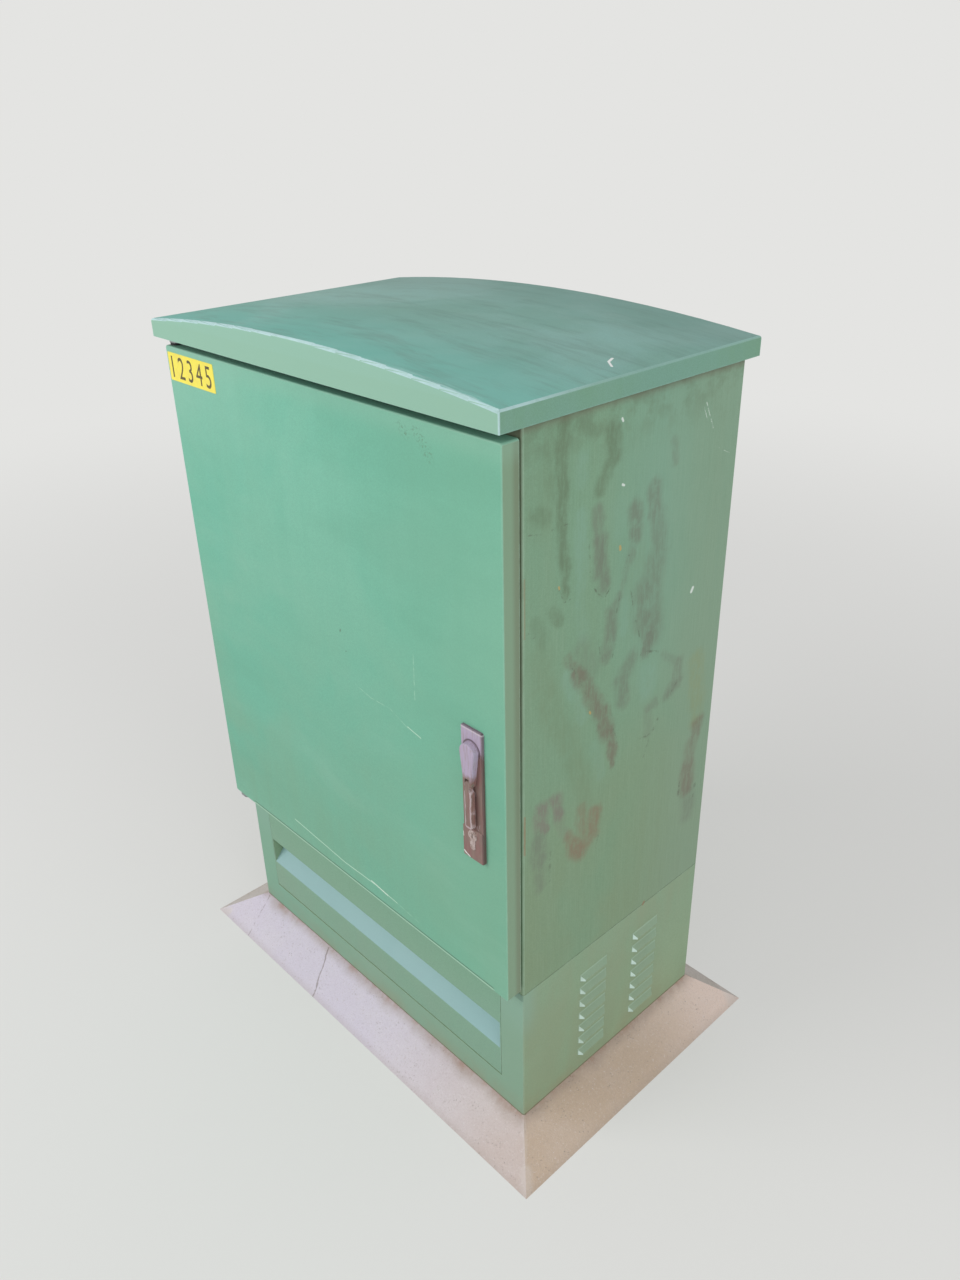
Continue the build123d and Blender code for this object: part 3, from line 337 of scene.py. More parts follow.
def openPaint(name, washes, reach):  # the weathered paint that every painted sheet starts from
    tones = paintTones[name]
    shared = {
        "patch": (0.7, tones["patch"]), "streak": (0.35, tones["streak"]), "edge": (0.7, tones["edge"]),
        "foldSheen": (tones["foldSheen"], tones["edge"]),
    }
    look, tree, place = openLook(name, {**shared, **washes})
    look.update(tones=tones, reach={"height": tones["levels"], **reach}, parts=split(tree, place))
    worn = use(tree, weather, {"Place": place})
    blend(look, reached(look, "Z", "height"), tones["low"], tones["high"])
    stain(look, "patch", worn["Patch"])
    stain(look, "streak", worn["Streak"])
    speck = step(tree, worn["Speck"], 0.0, 1.0, 0.94, 1.05)
    look["colour"] = mix(tree, 1.0, look["colour"], speck, "MULTIPLY")
    look["rough"] = step(tree, worn["Patch"], 0.0, 1.0, *tones["rough"])
    return look, tree, place


def closePaint(look):
    # pale worn edges, which also paint the highlight along sharp edges
    stain(look, "edge", effect(look, edgeWearAndSheen, Keep=look["tones"]["edgeKeep"]))
    # painted highlight: pale lines along every fold and rounded corner
    stain(look, "foldSheen", effect(look, foldSheen, Keep=0.6))
    fine = effect(look, grain, Scale=420.0, Wave=5.0, Share=6.0)
    return closeLook(look, look["rough"], fine, (0.22, 0.0006))


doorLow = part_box("door")[0]
sideLow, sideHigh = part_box("side_panel_right")
roofLow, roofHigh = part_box("roof_lid")


def onDoor(across, up):  # millimetres from the door's lower left corner
    return (doorLow.x + across / 1000, 0.0, doorLow.z + up / 1000)


def onSide(along, up):  # millimetres from the right panel's lower front corner
    return (0.0, sideLow.y + along / 1000, sideLow.z + up / 1000)


def onPlan(across, along):  # millimetres from the middle, seen from above
    return (across / 1000, along / 1000, 0.0)


def onFront(across, up):  # millimetres from the middle of the foot, seen from the front
    return (across / 1000, 0.0, up / 1000)


doorMarks = {
    "bright": [(1.3, 1.0, (206, 40), (354, 29), (439, 32), (494, 28)), (1.2, 1.0, (552, 395), (580, 389))],
    "shade": [
        (1.3, 0.3, (206, 40), (354, 29), (439, 32)), (1.3, 1.0, (439, 32), (494, 28)),
        (1.2, 1.0, (552, 395), (580, 389)),
    ],
    "deep": [(2.0, 1.0, (428, 34), (470, 29))],
    "faint": [
        (1.1, 1.0, (433, 416), (469, 408), (513, 409), (555, 392)), (1.0, 1.0, (494, 28), (548, 22)),
        (1.6, 1.0, (574, 521), (572, 449)),
    ],
    "dirt": [(12, 1.0, (575, 838), (585, 832)), (13, 1.0, (604, 838), (626, 812))],
    "specks": [(2.2, 1.0, (405, 497), (406, 499)), (1.8, 1.0, (415, 465), (416, 466))],
}
doorWashes = {
    "right": (0.5, (122, 180, 150)), "smearPale": (0.2, (146, 196, 174)), "smearDeep": (0.2, (98, 160, 134)),
    "shadedReturn": (0.9, (130, 156, 128)), "returnGapShadow": (0.6, (112, 120, 96)), "flareGlow": (0.35, (160, 200, 180)),
    "top": (0.25, (150, 194, 172)), "dirt": (0.6, (96, 128, 104)), "specks": (0.7, (84, 116, 94)),
    "faint": (0.45, (178, 218, 196)), "grime": (0.6, (62, 94, 74)), "rubbed": (0.7, (176, 208, 184)),
    "shade": (0.35, (80, 120, 98)), "bright": (0.85, (190, 226, 204)), "deep": (0.6, (224, 240, 226)),
}
doorReach = {  # metres in the part's frame, from where a wash starts to where it is full
    "right": (0.0, 0.36), "returnGapShadow": (-0.232, -0.222), "flareAcross": (0.05, -0.38), "flareUp": (0.95, 1.2),
    "top": (1.15, 1.18), "outside": (doorLow.y + 0.0012, doorLow.y + 0.0004), "lowerEdge": (-0.31, 0.345),
    "grime": (doorLow.z + 0.0052, doorLow.z + 0.0078), "rubbed": (doorLow.z + 0.0012, doorLow.z + 0.0046),
}


def doorPaint():
    look, tree, place = openPaint("doorPaint", doorWashes, doorReach)
    face = scaled(tree, place, (1, 0, 1))
    # painted sheen: the door's right half turns yellower
    stain(look, "right", reached(look, "X", "right"))
    smear = noise(tree, scaled(tree, wobbled(tree, face, 5.0, 0.05), (1.6, 1, 6.5)), 1.0, 5.0, 0.6)
    stain(look, "smearPale", step(tree, smear, 0.5, 0.68))
    stain(look, "smearDeep", step(tree, smear, 0.5, 0.34))
    # painted shade: the door's right return is tinted olive, like the side panel beside it
    shadedReturn = step(tree, normals(tree)["X"], 0.8, 0.95)
    stain(look, "shadedReturn", shadedReturn)
    # painted shadow: a dark line at the back of the return, in the gap to the side panel
    stain(look, "returnGapShadow", shadedReturn, reached(look, "Y", "returnGapShadow"))
    # painted light: a pale glow of flare over the door's upper left
    flareAcross = reached(look, "X", "flareAcross")
    stain(look, "flareGlow", flareAcross, reached(look, "Z", "flareUp"))
    # painted highlight: a pale line along the door's top edge
    stain(look, "top", reached(look, "Z", "top"))
    outside = reached(look, "Y", "outside")
    blotches = cloud(tree, face, (260.0, 4.0, 0.7), 0.5, 0.6)
    shaken = wobbled(tree, face, 45.0, 0.006)
    stain(look, "dirt", strokes(look, shaken, onDoor, doorMarks["dirt"], 0.8), blotches, outside)
    stain(look, "specks", strokes(look, shaken, onDoor, doorMarks["specks"], 0.5), outside)
    thin = wobbled(tree, face, 160.0, 0.0012)
    broken = cloud(tree, face, (90.0, 3.0, 0.6), 0.35, 0.6)
    stain(look, "faint", strokes(look, thin, onDoor, doorMarks["faint"], 0.8), broken, outside)
    # painted shadow and highlight along the door's lower edge: a dark line above a pale one, for the gap and
    # the lit top of the cover
    lowerEdge = product(tree, outside, banded(look, "X", "lowerEdge", 0.004))
    for name in ("grime", "rubbed"):
        stain(look, name, lowerEdge, banded(look, "Z", name, 0.0005))
    for name, part in {"shade": "Rim", "bright": "Mark", "deep": "Mark"}.items():
        stain(look, name, strokes(look, thin, onDoor, doorMarks[name], 0.5, part=part), outside)
    return closePaint(look)


sideWiped = {  # wiped marks, read off the photograph and placed to the nearest 5 mm
    "pale": [
        (16, 0.8, (105, 815), (105, 790)), (15, 1.0, (105, 745), (105, 645)),
        (15, 0.6, (105, 625), (115, 570)), (11, 0.8, (195, 595), (195, 550)),
        (25, 1.0, (255, 460), (260, 435)), (21, 0.5, (175, 735), (180, 700)),
        (15, 0.85, (80, 525), (105, 480), (115, 445)), (15, 0.5, (145, 385), (160, 330)),
    ],
    "faint": [
        (27, 0.7, (30, 570), (35, 525)), (26, 0.95, (40, 520), (60, 465), (95, 395), (120, 330)),
        (20, 0.9, (120, 330), (130, 290)), (35, 0.6, (30, 795), (30, 755)),
        (51, 0.5, (235, 635), (250, 550)),
    ],
    "olive": [
        (16, 0.9, (65, 860), (65, 810), (70, 775)), (13, 0.95, (70, 770), (70, 730), (75, 680)),
        (9, 1.0, (75, 680), (75, 645)), (26, 0.4, (50, 845), (60, 790)),
        (11, 0.45, (90, 860), (130, 845)), (19, 0.9, (155, 835), (165, 805)),
        (15, 0.85, (160, 805), (150, 785), (140, 770)), (16, 0.55, (20, 765), (40, 760)),
        (11, 0.7, (50, 630), (65, 610)), (15, 0.4, (25, 620), (35, 590)),
    ],
    "grey": [
        (15, 0.75, (135, 740), (140, 700)), (18, 1.0, (140, 700), (145, 655)),
        (14, 1.0, (150, 650), (155, 630)), (19, 0.85, (210, 720), (215, 685)),
        (12, 0.7, (215, 680), (205, 655)), (9, 0.4, (200, 650), (190, 615)),
        (11, 0.65, (185, 610), (175, 590)), (16, 0.9, (170, 585), (165, 555), (160, 525)),
        (19, 0.8, (250, 740), (255, 700)), (22, 0.6, (260, 695), (270, 640)),
        (30, 0.6, (265, 635), (255, 595)), (38, 0.75, (245, 590), (250, 550)),
        (32, 0.85, (255, 545), (260, 525)), (18, 1.0, (260, 520), (250, 500)),
        (20, 0.7, (215, 495), (200, 475)), (19, 0.85, (195, 470), (200, 440)),
        (10, 0.45, (290, 475), (320, 450)), (16, 0.8, (330, 445), (335, 415), (310, 400)),
        (13, 0.6, (280, 400), (265, 395)), (14, 0.35, (265, 390), (265, 350)),
        (26, 0.4, (110, 550), (130, 515)), (19, 0.85, (30, 280), (30, 240)),
        (16, 0.6, (30, 235), (35, 195)), (23, 0.65, (385, 175), (395, 130)),
        (10, 0.5, (285, 795), (290, 765)),
    ],
    "ochre": [(25, 0.9, (380, 430), (390, 355)), (20, 0.8, (390, 355), (390, 320))],
    "brown": [
        (10, 0.55, (80, 550), (100, 525)), (14, 0.9, (100, 520), (130, 480)),
        (18, 0.9, (130, 475), (155, 435), (170, 395)), (14, 1.0, (175, 395), (185, 355)),
        (7, 1.0, (185, 355), (185, 335)), (19, 0.8, (395, 310), (390, 280)),
        (20, 0.6, (385, 280), (380, 240)), (24, 0.9, (380, 235), (380, 195)),
    ],
    "mauve": [
        (19, 0.85, (30, 310), (35, 330)), (13, 0.65, (35, 335), (60, 335)),
        (15, 0.85, (65, 330), (70, 300)), (14, 0.25, (70, 300), (85, 255)),
        (8, 0.8, (25, 310), (45, 290)),
    ],
    "reddish": [
        (15, 0.6, (90, 250), (105, 225)), (20, 0.9, (105, 225), (125, 210), (145, 225)),
        (16, 0.8, (145, 225), (150, 265)), (16, 0.55, (120, 285), (125, 240)),
    ],
}
sideMarks = {
    "darkLines": [
        (1.6, 0.7, (10, 745), (30, 740)), (1.6, 1.0, (50, 740), (80, 740)),
        (1.6, 1.0, (65, 655), (70, 645), (75, 635), (85, 635)), (1.8, 0.6, (120, 700), (125, 645)),
        (1.7, 1.0, (130, 640), (140, 625), (155, 615), (165, 625)), (2.4, 0.8, (200, 660), (195, 645)),
        (2.0, 0.7, (185, 605), (175, 570)), (2.0, 0.5, (145, 555), (150, 520)),
        (2.1, 0.6, (180, 535), (175, 515)), (2.1, 0.7, (205, 615), (220, 565), (235, 520)),
        (2.6, 0.9, (240, 495), (250, 495), (280, 485)), (1.6, 0.6, (10, 615), (15, 605), (25, 605)),
        (1.9, 0.7, (85, 545), (105, 515), (125, 475)), (2.9, 0.7, (330, 410), (320, 400)),
        (3.3, 1.0, (290, 365), (280, 350), (265, 345), (245, 350)), (2.4, 0.6, (270, 335), (260, 310)),
        (2.1, 0.5, (165, 465), (180, 420)), (2.2, 0.7, (185, 395), (200, 350)),
        (2.7, 0.6, (160, 215), (155, 195)), (3.3, 0.6, (55, 250), (55, 190)),
        (3.8, 0.9, (360, 210), (360, 185)), (4.0, 0.9, (405, 185), (405, 160)),
    ],
    "flecks": [
        (2.2, 1.0, (174, 850), (176, 847)), (2.0, 1.0, (180, 764), (184, 762)),
        (3.6, 1.0, (350, 556), (353, 561)),
    ],
    "scratches": [
        (1.3, 1.0, (350, 835), (360, 815), (370, 795)), (1.1, 1.0, (345, 830), (355, 810)),
        (0.9, 0.7, (385, 765), (415, 750)),
    ],
    "tan": [
        (3.0, 1.0, (181, 679), (182, 675)), (2.0, 1.0, (64, 660), (65, 657)),
        (2.4, 1.0, (131, 447), (133, 444)),
    ],
    "seamRust": [(4.0, 1.0, (285, 0), (287, 3))],
    "frontEdge": [(2.2, 0.9, (3, 335), (3, 270)), (2.0, 0.5, (3, 690), (3, 610))],
}
sideWashes = {
    "pale": (0.45, (132, 172, 152)), "faint": (0.4, (116, 136, 104)), "olive": (0.8, (98, 120, 92)),
    "grey": (0.8, (112, 120, 105)), "ochre": (0.55, (138, 148, 106)), "brown": (0.8, (116, 103, 90)),
    "mauve": (0.8, (126, 106, 106)), "reddish": (0.85, (134, 104, 84)), "rubbed": (0.55, (128, 170, 150)),
    "rear": (0.45, (136, 162, 142)), "hairPale": (0.16, (150, 178, 152)), "hairDark": (0.14, (98, 126, 100)),
    "darkLines": (0.7, (84, 92, 76)), "frontFace": (0.5, (124, 100, 80)), "grime": (0.4, (100, 116, 90)),
    "underRoof": (0.5, (110, 98, 80)), "foot": (0.7, (88, 104, 80)), "flecks": (0.9, (222, 232, 226)),
    "scratches": (0.85, (206, 224, 212)), "tan": (0.8, (190, 160, 96)), "rust": (0.7, (150, 100, 70)),
}
sideReach = {
    "outside": (sideHigh.x - 0.0012, sideHigh.x - 0.0004), "foot": (sideLow.z + 0.0022, sideLow.z + 0.0012),
    "rubbedAlong": (sideLow.y + 0.19, sideLow.y + 0.33), "rubbedUp": (0.6, 0.95), "rear": (0.0, 0.2),
    "frontFace": (0.5, 0.9), "grime": (1.1, 1.2), "underRoof": (1.184, 1.197), "rust": (0.3, 0.36),
}
sideSpread = 1.2  # how much wider a wiped mark reaches than its half width


def sidePaint():
    look, tree, place = openPaint("sidePaint", sideWashes, sideReach)
    face = scaled(tree, place, (0, 1, 1))
    outside = reached(look, "X", "outside")
    stain(look, "rubbed", outside, banded(look, "Y", "rubbedAlong", 0.07), reached(look, "Z", "rubbedUp"))
    stain(look, "rear", outside, reached(look, "Y", "rear"))
    hairs = noise(tree, scaled(tree, face, (1, 1, 0.03)), 420.0, 3.0, 0.7)
    stain(look, "hairPale", step(tree, hairs, 0.5, 0.68))
    stain(look, "hairDark", step(tree, hairs, 0.48, 0.3))
    brushed = cloud(tree, scaled(tree, face, (1, 1, 0.2)), (170.0, 5.0, 0.75), 0.34, 0.58, 0.5, 1.0)
    mottled = cloud(tree, face, (34.0, 6.0, 0.7), 0.32, 0.56, 0.45, 1.0)
    dry = product(tree, outside, brushed, mottled)
    shaken = wobbled(tree, wobbled(tree, face, 13.0, 0.022), 70.0, 0.012)
    for name, rows in sideWiped.items():
        stain(look, name, strokes(look, shaken, onSide, rows, 0.75, spread=sideSpread), dry)
    broken = product(tree, outside, cloud(tree, face, (90.0, 4.0, 0.7), 0.46, 0.6))
    lineShake = wobbled(tree, wobbled(tree, face, 30.0, 0.004), 200.0, 0.002)
    stain(look, "darkLines", strokes(look, lineShake, onSide, sideMarks["darkLines"], 0.7), broken)
    frontFace = step(tree, normals(tree)["Y"], -0.6, -0.9)
    stain(look, "frontFace", frontFace, reached(look, "Z", "frontFace"))
    smoky = cloud(tree, face, (22.0, 5.0, 0.65), 0.42, 0.62)
    stain(look, "grime", reached(look, "Z", "grime"), outside, smoky)
    stain(look, "underRoof", reached(look, "Z", "underRoof"))
    stain(look, "foot", reached(look, "Z", "foot"))
    thin = wobbled(tree, face, 160.0, 0.0016)
    stain(look, "flecks", strokes(look, thin, onSide, sideMarks["flecks"], 0.5), outside)
    scratched = wobbled(tree, face, 120.0, 0.004)
    stain(look, "scratches", strokes(look, scratched, onSide, sideMarks["scratches"], 0.7), broken)
    stain(look, "tan", strokes(look, thin, onSide, sideMarks["tan"], 0.6), outside)
    rust = strokes(look, thin, onSide, sideMarks["seamRust"] + sideMarks["frontEdge"], 0.7)
    stain(look, "rust", rust, reached(look, "X", "rust"))
    return closePaint(look)


roofMarks = {
    "fleck": [(2.4, 1.0, (334.5, -12.5), (340.8, -27)), (2.1, 1.0, (340.8, -27), (355, -37.6))],
    "chalk": [(16, 1.0, (160, -262), (340, -256))],
}
roofWashes = {
    "near": (0.85, (108, 182, 169)), "far": (0.7, (112, 150, 142)), "wipe": (0.5, (102, 138, 128)),
    "front": (0.85, (150, 194, 172)), "frontFoot": (0.4, (120, 164, 140)), "chalk": (0.8, (176, 210, 208)),
    "fleck": (1.0, (236, 240, 238)), "rimHighlight": (0.95, (196, 226, 230)), "corner": (0.8, (196, 226, 230)),
}
roofReach = {
    "near": (0.0, -0.27), "far": (0.02, 0.24), "frontFoot": (1.2, 1.192), "rimAlong": (-0.08, -0.25),
    "cornerAcross": (roofHigh.x - 0.0024, roofHigh.x - 0.001),
    "cornerAlong": (roofLow.y + 0.0024, roofLow.y + 0.001),
}


def roofPaint():
    look, tree, place = openPaint("roofPaint", roofWashes, roofReach)
    plan, facing = scaled(tree, place, (1, 1, 0)), normals(tree)
    top = step(tree, facing["Z"], 0.9, 0.97)
    front = step(tree, facing["Y"], -0.7, -0.95)
    stain(look, "near", top, reached(look, "Y", "near"))
    stain(look, "far", top, reached(look, "Y", "far"))
    smudged = scaled(tree, wobbled(tree, plan, 6.0, 0.06), (5, 22, 1))
    smudge = cloud(tree, smudged, (1.0, 6.0, 0.65), 0.44, 0.62)
    streaky = cloud(tree, scaled(tree, plan, (9, 120, 1)), (1.0, 4.0, 0.7), 0.4, 0.62, 0.35, 1.0)
    stain(look, "wipe", smudge, streaky, top)
    # painted highlight: the fascia's front face is lightened, less so at its foot
    stain(look, "front", front)
    stain(look, "frontFoot", front, reached(look, "Z", "frontFoot"))
    chalk = strokes(look, wobbled(tree, plan, 20.0, 0.02), onPlan, roofMarks["chalk"], 0.9)
    scuffed = cloud(tree, scaled(tree, plan, (20, 160, 1)), (1.0, 5.0, 0.7), 0.42, 0.6)
    stain(look, "chalk", chalk, scuffed, top)
    stain(look, "fleck", strokes(look, plan, onPlan, roofMarks["fleck"], 0.5), top)
    # painted highlight: pale lines along the roof's folds, strongest on the front rim
    turned = effect(look, foldSheen, Break=50.0, Keep=0.72)
    nearFront = reached(look, "Y", "rimAlong", 0.14, 0.85)
    stain(look, "rimHighlight", turned, maths(tree, "MAXIMUM", step(tree, facing["Y"], -0.1, -0.3), nearFront))
    cornerAcross = reached(look, "X", "cornerAcross")
    stain(look, "corner", cornerAcross, reached(look, "Y", "cornerAlong"))
    return closePaint(look)


plinthWashes = {
    "front": (0.8, (132, 168, 146)), "frontLeft": (0.6, (116, 170, 144)), "cloudy": (0.4, (142, 152, 122)),
    "splash": (0.35, (152, 144, 116)), "foot": (0.75, (112, 90, 66)), "shadowUnderDoor": (0.75, (70, 96, 78)),
    "bluish": (0.5, (138, 176, 158)), "rust": (0.7, (150, 96, 62)), "louvreBodyHighlight": (0.3, (136, 166, 146)),
    "louvreTopHighlight": (0.5, (164, 194, 172)), "louvreEndGlint": (1.0, (222, 246, 238)),
    "louvreShade": (0.5, (104, 130, 104)),
}
plinthReach = {  # the plinth's sides stand in line with the panels above
    "frontLeft": (0.0, -0.34), "splash": (0.1, 0.05), "foot": (0.054, 0.0515), "shadowUnderDoor": (0.306, 0.3075),
    "bluishAlong": (-0.17, -0.205), "bluishUp": (0.2, 0.29),
    "proud": (sideHigh.x + 0.0004, sideHigh.x + 0.0016),
    "louvreTopHighlight": (sideHigh.x + 0.0003, sideHigh.x + 0.0012),
}


def plinthPaint():
    look, tree, place = openPaint("plinthPaint", plinthWashes, plinthReach)
    facing = normals(tree)
    front = step(tree, facing["Y"], -0.6, -0.9)
    # painted light: the plinth's front faces are tinted greener than its sides, the front's left end most
    stain(look, "front", front)
    stain(look, "frontLeft", front, reached(look, "X", "frontLeft"))
    cloudy = cloud(tree, scaled(tree, place, (1, 1, 0.45)), (8.0, 5.0, 0.6), 0.4, 0.62)
    stain(look, "cloudy", step(tree, facing["X"], 0.3, 0.6), cloudy)
    blot = cloud(tree, place, (14.0, 5.0, 0.6), 0.35, 0.65)
    stain(look, "splash", reached(look, "Z", "splash"), blot)
    stain(look, "foot", reached(look, "Z", "foot"))
    # painted shadow: a dark line along the top of the front, under the door's lower edge
    stain(look, "shadowUnderDoor", front, reached(look, "Z", "shadowUnderDoor"))
    stain(look, "bluish", reached(look, "Y", "bluishAlong"), reached(look, "Z", "bluishUp"))
    look["parts"] = {"aside": maths(tree, "ABSOLUTE", look["parts"]["X"])}  # from the middle to either side
    proud = reached(look, "aside", "proud")
    upward = step(tree, facing["Z"], 0.12, 0.4)
    # painted highlights on the louvres: their upward facets, a paler line near the crest, and glints on
    # their front ends
    stain(look, "louvreBodyHighlight", proud, upward)
    stain(look, "louvreTopHighlight", banded(look, "aside", "louvreTopHighlight", 0.0003), upward)
    uneven = cloud(tree, place, (40.0, 2.0), 0.35, 0.55, 0.7, 1.0)
    stain(look, "louvreEndGlint", proud, step(tree, facing["Y"], -0.3, -0.6), uneven)
    stain(look, "louvreShade", proud, step(tree, facing["Y"], 0.3, 0.6))
    rust = strokes(look, scaled(tree, place, (0, 1, 1)), onSide, sideMarks["seamRust"], 0.8)
    stain(look, "rust", rust)
    return closePaint(look)


coverScratches = [(0.8, 1.0, (-160, 98), (20, 96)), (0.8, 0.8, (100, 104), (330, 100))]
coverWashes = {
    "skyReflection": (0.95, (148, 184, 186)), "end": (0.6, (158, 178, 142)), "topEdge": (0.6, (172, 204, 190)),
    "splash": (0.2, (140, 156, 132)), "scratch": (0.4, (172, 204, 190)),
}
coverReach = {"topEdge": (0.3022, 0.3032), "splash": (0.115, 0.1)}


def coverPaint():
    look, tree, place = openPaint("coverPaint", coverWashes, coverReach)
    facing = normals(tree)
    # painted reflection of the sky: the recess's upward facet is paler and bluish
    stain(look, "skyReflection", step(tree, facing["Z"], 0.2, 0.4), step(tree, facing["Y"], -0.2, -0.4))
    # painted light: the recess's end wall is lightened, to soften its shade
    stain(look, "end", step(tree, facing["X"], 0.4, 0.7))
    # painted highlight: a pale line along the cover's top bend
    stain(look, "topEdge", reached(look, "Z", "topEdge"))
    blot = cloud(tree, place, (12.0, 5.0, 0.6), 0.35, 0.65)
    stain(look, "splash", reached(look, "Z", "splash"), blot)
    flat = wobbled(tree, scaled(tree, place, (1, 0, 1)), 120.0, 0.001)
    stain(look, "scratch", strokes(look, flat, onFront, coverScratches, 0.5))
    return closePaint(look)


# painted light: the concrete's tones by face, lilac on the front, tan on the right side, paler towards its
# far end and warmer towards the front corner
concreteTones = {
    "front": (220, 212, 227), "corner": (210, 194, 188), "side": (207, 185, 164), "far": (240, 219, 208),
    "shaded": (204, 196, 188),
}
concreteWashes = {
    "pale": (0.25, (230, 224, 228)), "spotDark": (0.4, (184, 170, 164)), "spotPale": (0.45, (236, 230, 234)),
    "sandDark": (0.45, (172, 162, 156)), "sandPale": (0.4, (230, 224, 228)), "pits": (0.5, (172, 162, 156)),
    "dirt": (0.6, (170, 154, 144)), "rusty": (0.55, (166, 126, 104)), "joints": (0.6, (140, 126, 118)),
    "mitre": (0.6, (224, 215, 210)), "damp": (0.25, (170, 154, 144)),
}
concreteMarks = {
    "joints": [(2, 1.0, (-157, -214), (-112, -296)), (1.4, 0.7, (-366, -214), (-342, -296))],
    "mitre": [
        (5, 0.4, (375, -212), (455, -288)), (14, 0.7, (430, -262), (452, -284)),
        (20, 1.0, (420, 288), (455, 270)), (12, 1.0, (-455, -288), (-430, -280)),
    ],
}
concreteReach = {
    "corner": (0.0, 0.42), "far": (0.0, 0.28), "dirt": (0.046, 0.061), "rusty": (0.052, 0.063),
    "damp": (0.013, 0.003),
}


def concreteLook():
    tones, reach = concreteTones, concreteReach
    look, tree, place = openLook("concrete", concreteWashes)
    plan = scaled(tree, place, (1, 1, 0))
    parts, facing = split(tree, place), normals(tree, "Normal")
    look.update(parts=parts, reach=reach)
    toSide = step(tree, facing["X"], 0.1, 0.4)
    # painted light: each face gets its own tone, after how the light falls on it
    front = mix(tree, reached(look, "X", "corner"), tint(*tones["front"]), tint(*tones["corner"]))
    flank = mix(tree, reached(look, "Y", "far"), tint(*tones["side"]), tint(*tones["far"]))
    toBack = maths(tree, "MAXIMUM", step(tree, facing["X"], -0.1, -0.4), step(tree, facing["Y"], 0.1, 0.4))
    look["colour"] = mix(tree, toSide, mix(tree, toBack, front, tint(*tones["shaded"])), flank)
    cloudy = cloud(tree, place, (9.0, 6.0, 0.6), 0.4, 0.65)
    stain(look, "pale", cloudy, step(tree, toSide, 0.0, 1.0, 1.0, 0.4))
    spots = noise(tree, place, 300.0, 4.0, 0.75)
    stain(look, "spotDark", step(tree, spots, 0.54, 0.68))
    stain(look, "spotPale", step(tree, spots, 0.44, 0.32))
    sand = noise(tree, place, 900.0, 3.0, 0.7)
    stain(look, "sandDark", step(tree, sand, 0.55, 0.75))
    stain(look, "sandPale", step(tree, sand, 0.42, 0.25))
    pits = add(tree, "TexVoronoi", {"Vector": place, "Scale": 160.0}).outputs["Distance"]
    pitted = product(tree, step(tree, pits, 0.22, 0.1), cloud(tree, place, (30.0,), 0.5, 0.6))
    stain(look, "pits", pitted)
    ragged = maths(tree, "ADD", parts["Z"], product(tree, noise(tree, plan, 16.0, 5.0, 0.65), 0.02))
    stain(look, "dirt", step(tree, ragged, *reach["dirt"]))
    spotty = cloud(tree, plan, (34.0, 5.0, 0.7), 0.42, 0.62)
    stain(look, "rusty", step(tree, ragged, *reach["rusty"]), spotty)
    joints = strokes(look, wobbled(tree, plan, 60.0, 0.008), onPlan, concreteMarks["joints"], 0.6)
    stain(look, "joints", joints)
    pale = strokes(look, wobbled(tree, plan, 40.0, 0.006), onPlan, concreteMarks["mitre"], 0.7)
    stain(look, "mitre", pale, step(tree, sand, 0.3, 0.55, 0.5, 1.0))
    wet = maths(tree, "ADD", parts["Z"], product(tree, sand, 0.008))
    stain(look, "damp", step(tree, wet, *reach["damp"]))
    relief = maths(tree, "ADD", sand, product(tree, noise(tree, place, 60.0, 5.0, 0.6), 2.0))
    relief = maths(tree, "SUBTRACT", relief, product(tree, maths(tree, "ADD", pitted, joints), 1.5))
    return closeLook(look, step(tree, sand, 0.2, 0.8, 0.8, 0.95), relief, (0.6, 0.0016), specular=0.3)


galvanisedTones = {"light": (166, 170, 171), "dark": (140, 145, 147)}
galvanisedWashes = {
    "bloom": (0.25, (184, 186, 184)), "dust": (0.5, (168, 158, 140)), "edge": (0.5, (214, 216, 216)),
    "streak": (0.4, (114, 148, 122)), "splash": (0.5, (138, 148, 116)),
}
backPaint = {"low": (132, 156, 124), "high": (126, 164, 136)}
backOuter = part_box("back_panel")[1].y


def galvanisedLook(painted=False):  # painted: the outer face has paint and only the inner face is bare
    look, tree, place = openLook("backPanel" if painted else "galvanised", galvanisedWashes)
    cells = add(tree, "TexVoronoi", {"Vector": place, "Scale": 90.0}).outputs["Color"]
    grey = add(tree, "SeparateColor", {"Color": cells}).outputs[0]
    blend(look, grey, galvanisedTones["dark"], galvanisedTones["light"])
    stain(look, "bloom", cloud(tree, place, (7.0, 5.0, 0.55), 0.42, 0.7))
    stain(look, "dust", effect(look, dust))
    stain(look, "edge", effect(look, edgeWearAndSheen, Radius=0.0015, Keep=0.8))
    rough = step(tree, grey, 0.0, 1.0, 0.36, 0.56)
    metallic = 0.75
    if painted:
        parts = split(tree, place)
        outside = step(tree, parts["Y"], backOuter - 0.0014, backOuter - 0.0006)
        worn = use(tree, weather, {"Place": place})
        bare = look["colour"]
        blend(look, step(tree, parts["Z"], 0.33, 1.1), backPaint["low"], backPaint["high"])
        stain(look, "streak", worn["Streak"])
        stain(look, "splash", worn["Patch"], step(tree, parts["Z"], 0.6, 0.32))
        look["colour"] = mix(tree, outside, bare, look["colour"])
        rough = maths(tree, "MAXIMUM", rough, product(tree, outside, 0.62))
        metallic = product(tree, maths(tree, "SUBTRACT", 1.0, outside), 0.75)
    fine = effect(look, grain, Scale=700.0)
    return closeLook(look, rough, fine, (0.12, 0.0004), metallic=metallic)


zincTones = {"base": (188, 184, 170), "patch": (168, 166, 158)}
zincWashes = {"spots": (0.6, (142, 96, 62)), "edge": (0.5, (224, 222, 214))}
waveLength = 0.314159  # metres between the bands of a wave texture of scale one


